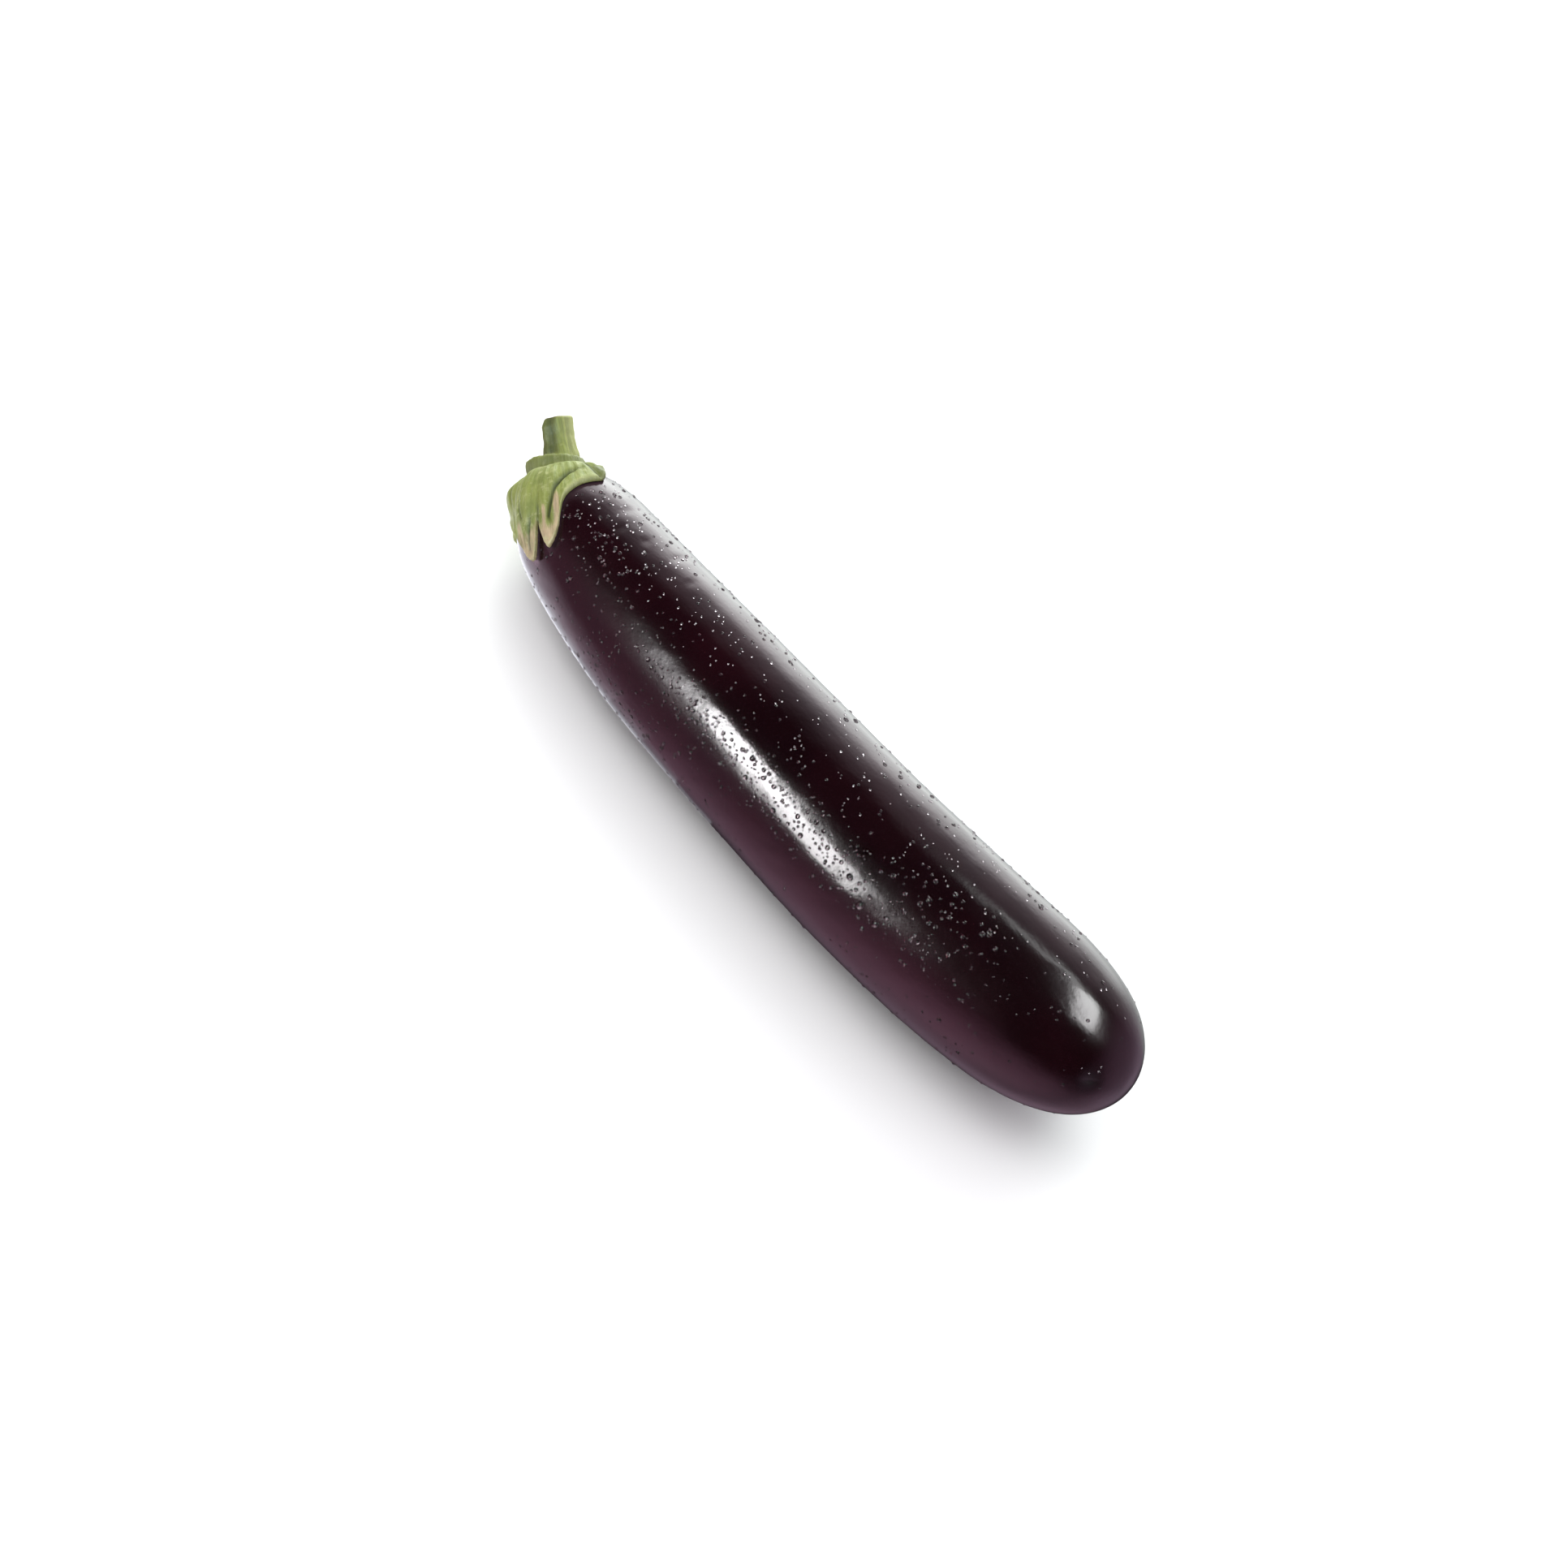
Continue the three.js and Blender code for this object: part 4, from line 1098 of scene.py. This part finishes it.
class EGGPLANT_OT_drops(bpy.types.Operator):
    """Wets the skin: fine drops all over, denser in places, and patches of larger drops"""
    bl_idname = "eggplant.drops"
    bl_label = "Water drops"

    def execute(self, context):
        settings = context.scene.eggplant_drops
        chance = np.random.default_rng(settings.seed)
        water = water_material()
        tree = drops_tree(water)
        fine = self.fine_places(settings, chance)
        large = self.patch_places(chance)
        self.make("drops_fine", fine, self.dome(settings.contact, 8, 3), tree, water, settings.seed)
        self.make("drops_large", large, self.dome(settings.contact, 12, 3), tree, water, settings.seed + 1)
        return {"FINISHED"}

    def fine_places(self, settings, chance):
        """Places, outward directions and radii of the fine drops."""
        tries = settings.mist * 6
        along = chance.uniform(*WET_SPAN, tries)
        degrees = chance.uniform(0, 360, tries)
        fullness = fruit_radius(along) / max(radius for _, radius in FRUIT_PROFILE)
        streak = near_turn(degrees, 147, 16) * between(along, (-60, -40), (60, 80))
        stem = near(along, -82, 22) * near_turn(degrees, 115, 45)
        left = near(along, -55, 28) * near_turn(degrees, 195, 22)
        wet = 0.28 + 0.55 * streak + 0.5 * stem + 0.5 * left
        wet = wet * (1 - 0.7 * near(along, 100, 26)) * fullness
        keep = chance.uniform(0, 1, tries) < wet
        along, degrees = along[keep][:settings.mist], degrees[keep][:settings.mist]
        radius = settings.mist_radius * np.exp(chance.normal(0, MIST_SPREAD, len(along)))
        return along, degrees, np.clip(radius, *MIST_RADII)

    def patch_places(self, chance):
        """Places, angles and radii of the larger drops, each clear of the ones before it."""
        placed = list(SINGLE_DROPS)
        for middle, spread, count, radii in DROP_PATCHES:
            for _ in range(count):
                for _ in range(PATCH_TRIES):
                    along = chance.normal(middle[0], spread[0])
                    degrees = chance.normal(middle[1], spread[1])
                    radius = mix(*radii, chance.uniform(0, 1) ** 2.2)
                    inside = PATCH_SPAN[0] < along < PATCH_SPAN[1]
                    if inside and self.gap(along, degrees, radius, placed) > DROP_GAP:
                        placed.append((along, degrees, radius))
                        break
        return tuple(np.array(placed).T)

    def gap(self, along, degrees, radius, placed):
        """The smallest gap in mm between a drop and those already placed."""
        gaps = []
        for other_along, other_degrees, other_radius in placed:
            around = math.radians(turn_gap(degrees, other_degrees)) * SKIN_REACH
            gaps.append(math.hypot(along - other_along, around) - other_radius - radius)
        return min(gaps)

    def dome(self, contact, sides, rows):
        """A drop with a foot of radius 1 mm: the cap of a ball that meets the skin at the contact angle."""
        circle = on_circle(round_angles(sides))
        ball = 1 / math.sin(contact)
        rings = [circle * 0.96 - (0, 0, DROP_SUNK)]
        for row in range(rows):
            rise = contact * (1 - row / rows)
            rings.append(circle * ball * math.sin(rise) + (0, 0, ball * (math.cos(rise) - math.cos(contact))))
        top = (0, 0, ball * (1 - math.cos(contact)))
        return body_from_rings("drop_shape", (0, 0, -DROP_SUNK), rings, top)

    def make(self, name, places, shape, tree, water, seed):
        along, degrees, radius = places
        point, outwards = skin_at(along, degrees)
        point = point - outwards * unevenness(point)[:, None]
        low, high = (np.array(corner) / MM for corner in CAD_BOX)
        room = DROP_ROOM * radius[:, None]
        clear = ((point - room > low) & (point + room < high)).all(1)
        turn, lean = cap_places(point)
        clear &= lean > edge_lean_at(turn, cap_edge_curve()) + 1.5 + np.degrees(radius / CAP_REACH)
        clear &= outwards[:, 2] > FACING_FLOOR
        mesh = bpy.data.meshes.new(name)
        mesh.from_pydata((point[clear] * MM).tolist(), [], [])
        store(mesh, "outwards", outwards[clear])
        store(mesh, "size", radius[clear])
        piece = show(name, mesh)
        through_tree(piece, tree, {"Drop": shape, "Size": 1.0, "Uneven": DROP_UNEVEN, "Seed": seed})
        piece.data.shade_smooth()
        bpy.data.objects.remove(shape)
        finish_piece(piece, water)


class EGGPLANT_OT_stage(bpy.types.Operator):
    """Makes the plain studio: pale floor, soft lights and the camera"""
    bl_idname = "eggplant.stage"
    bl_label = "Stage"

    def execute(self, context):
        scene = context.scene
        settings = scene.eggplant_stage
        self.floor(settings)
        self.camera(scene, settings)
        self.world(scene, settings)
        for name, place, size, share, along, colour, facing in [*HIGHLIGHT_LIGHTS, *self.floor_cards()]:
            light = self.softbox(name, place, size, settings.highlights * share, along, facing)
            light.data.color = colour
            light.visible_diffuse = False
        for name, place, size, share in FILL_LIGHTS:
            self.softbox(name, place, size, settings.fill * share).visible_glossy = False
        scene.view_settings.view_transform = "Standard"
        scene.view_settings.look = "None"
        return {"FINISHED"}

    def floor(self, settings):
        rim = on_circle(round_angles(FLOOR_SIDES), FLOOR_RADIUS)
        mesh = bpy.data.meshes.new("studio_floor")
        mesh.from_pydata(rim.tolist(), [], [tuple(range(FLOOR_SIDES))])
        mesh.materials.append(floor_material(settings.floor))
        floor = show("studio_floor", mesh)
        floor.visible_glossy = False

    def camera(self, scene, settings):
        data = bpy.data.cameras.new("camera")
        data.lens = settings.lens
        data.sensor_width = CAMERA_SENSOR
        camera = show("camera", data)
        right = Vector(CAMERA_RIGHT).normalized()
        up = Vector(CAMERA_UP)
        up = (up - right * up.dot(right)).normalized()
        aim(camera, Vector(CAMERA_PLACE) * MM, (right, up, right.cross(up)))
        scene.camera = camera

    def world(self, scene, settings):
        """A dark room with a few broad soft glows, seen by the camera as plain white."""
        world = bpy.data.worlds.new("studio")
        world.use_nodes = True
        tree = world.node_tree
        node = functools.partial(add_node, tree)
        where = node("ShaderNodeTexCoord", "Generated")
        total = (*ROOM_DARK, 1)
        for towards, start, full, colour in ROOM_GLOWS:
            facing = node("ShaderNodeVectorMath", "Value", {0: where, 1: Vector(towards).normalized()},
                          operation="DOT_PRODUCT")
            values = {"Value": facing, "From Min": start, "From Max": full}
            share = node("ShaderNodeMapRange", "Result", values, interpolation_type="SMOOTHSTEP")
            total = node("ShaderNodeMix", "Result", {"Factor": share, "A": total, "B": (*colour, 1)},
                         data_type="RGBA", blend_type="ADD")
        seen = {"Factor": node("ShaderNodeLightPath", "Is Camera Ray"), "A": total, "B": (1, 1, 1, 1)}
        background = tree.nodes["Background"]
        put(tree, background.inputs["Color"], node("ShaderNodeMix", "Result", seen, data_type="RGBA"))
        background.inputs["Strength"].default_value = settings.world
        scene.world = world

    def floor_cards(self):
        """The cards, in the same order of values as the other highlight lights."""
        left, back, height = CARD_CORNER
        for number in range(CARD_COUNT):
            share = number / (CARD_COUNT - 1)
            length, width = mix(*CARD_LENGTHS, share), mix(*CARD_WIDTHS, share)
            place = (left + length / 2, back - width / 2, height + CARD_GAP * number)
            power = CARD_SHARE * length * width
            yield f"card_{number}", place, (length, width), power, LEVEL, CARD_COLOUR, UPWARDS

    def softbox(self, name, place, size, power, along=(1.0, 0.0, 0.0), facing=None):
        """A rectangular light, its first side turned along a direction; it faces the object if not told."""
        data = bpy.data.lights.new(name, "AREA")
        data.shape = "RECTANGLE"
        data.size, data.size_y = size
        data.energy = power
        light = show(name, data)
        outwards = Vector(place).normalized() if facing is None else -Vector(facing)
        upwards = outwards.cross(Vector(along)).normalized()
        aim(light, place, (upwards.cross(outwards), upwards, outwards))
        return light


class EGGPLANT_PT_pieces(bpy.types.Panel):
    """Lists the pieces of the eggplant"""
    bl_idname = "EGGPLANT_PT_pieces"
    bl_label = "Eggplant"
    bl_space_type = "VIEW_3D"
    bl_region_type = "UI"
    bl_category = "Eggplant"

    def draw(self, context):
        for operator in OPERATORS:
            self.layout.operator(operator.bl_idname)


GROUPS = {
    "eggplant_fruit": EGGPLANT_PG_fruit,
    "eggplant_calyx": EGGPLANT_PG_calyx,
    "eggplant_stalk": EGGPLANT_PG_stalk,
    "eggplant_drops": EGGPLANT_PG_drops,
    "eggplant_stage": EGGPLANT_PG_stage,
}
OPERATORS = (EGGPLANT_OT_stage, EGGPLANT_OT_fruit, EGGPLANT_OT_calyx, EGGPLANT_OT_stalk, EGGPLANT_OT_drops)
CLASSES = (*GROUPS.values(), *OPERATORS, EGGPLANT_PT_pieces)


def register():
    for each in CLASSES:
        bpy.utils.register_class(each)
    for name, group in GROUPS.items():
        setattr(bpy.types.Scene, name, PointerProperty(type=group))


def unregister():
    for name in GROUPS:
        delattr(bpy.types.Scene, name)
    for each in reversed(CLASSES):
        bpy.utils.unregister_class(each)


def main():
    register()
    bpy.ops.eggplant.stage()
    bpy.ops.eggplant.fruit()
    bpy.ops.eggplant.calyx()
    bpy.ops.eggplant.stalk()
    bpy.ops.eggplant.drops()


if __name__ == "__main__":
    main()
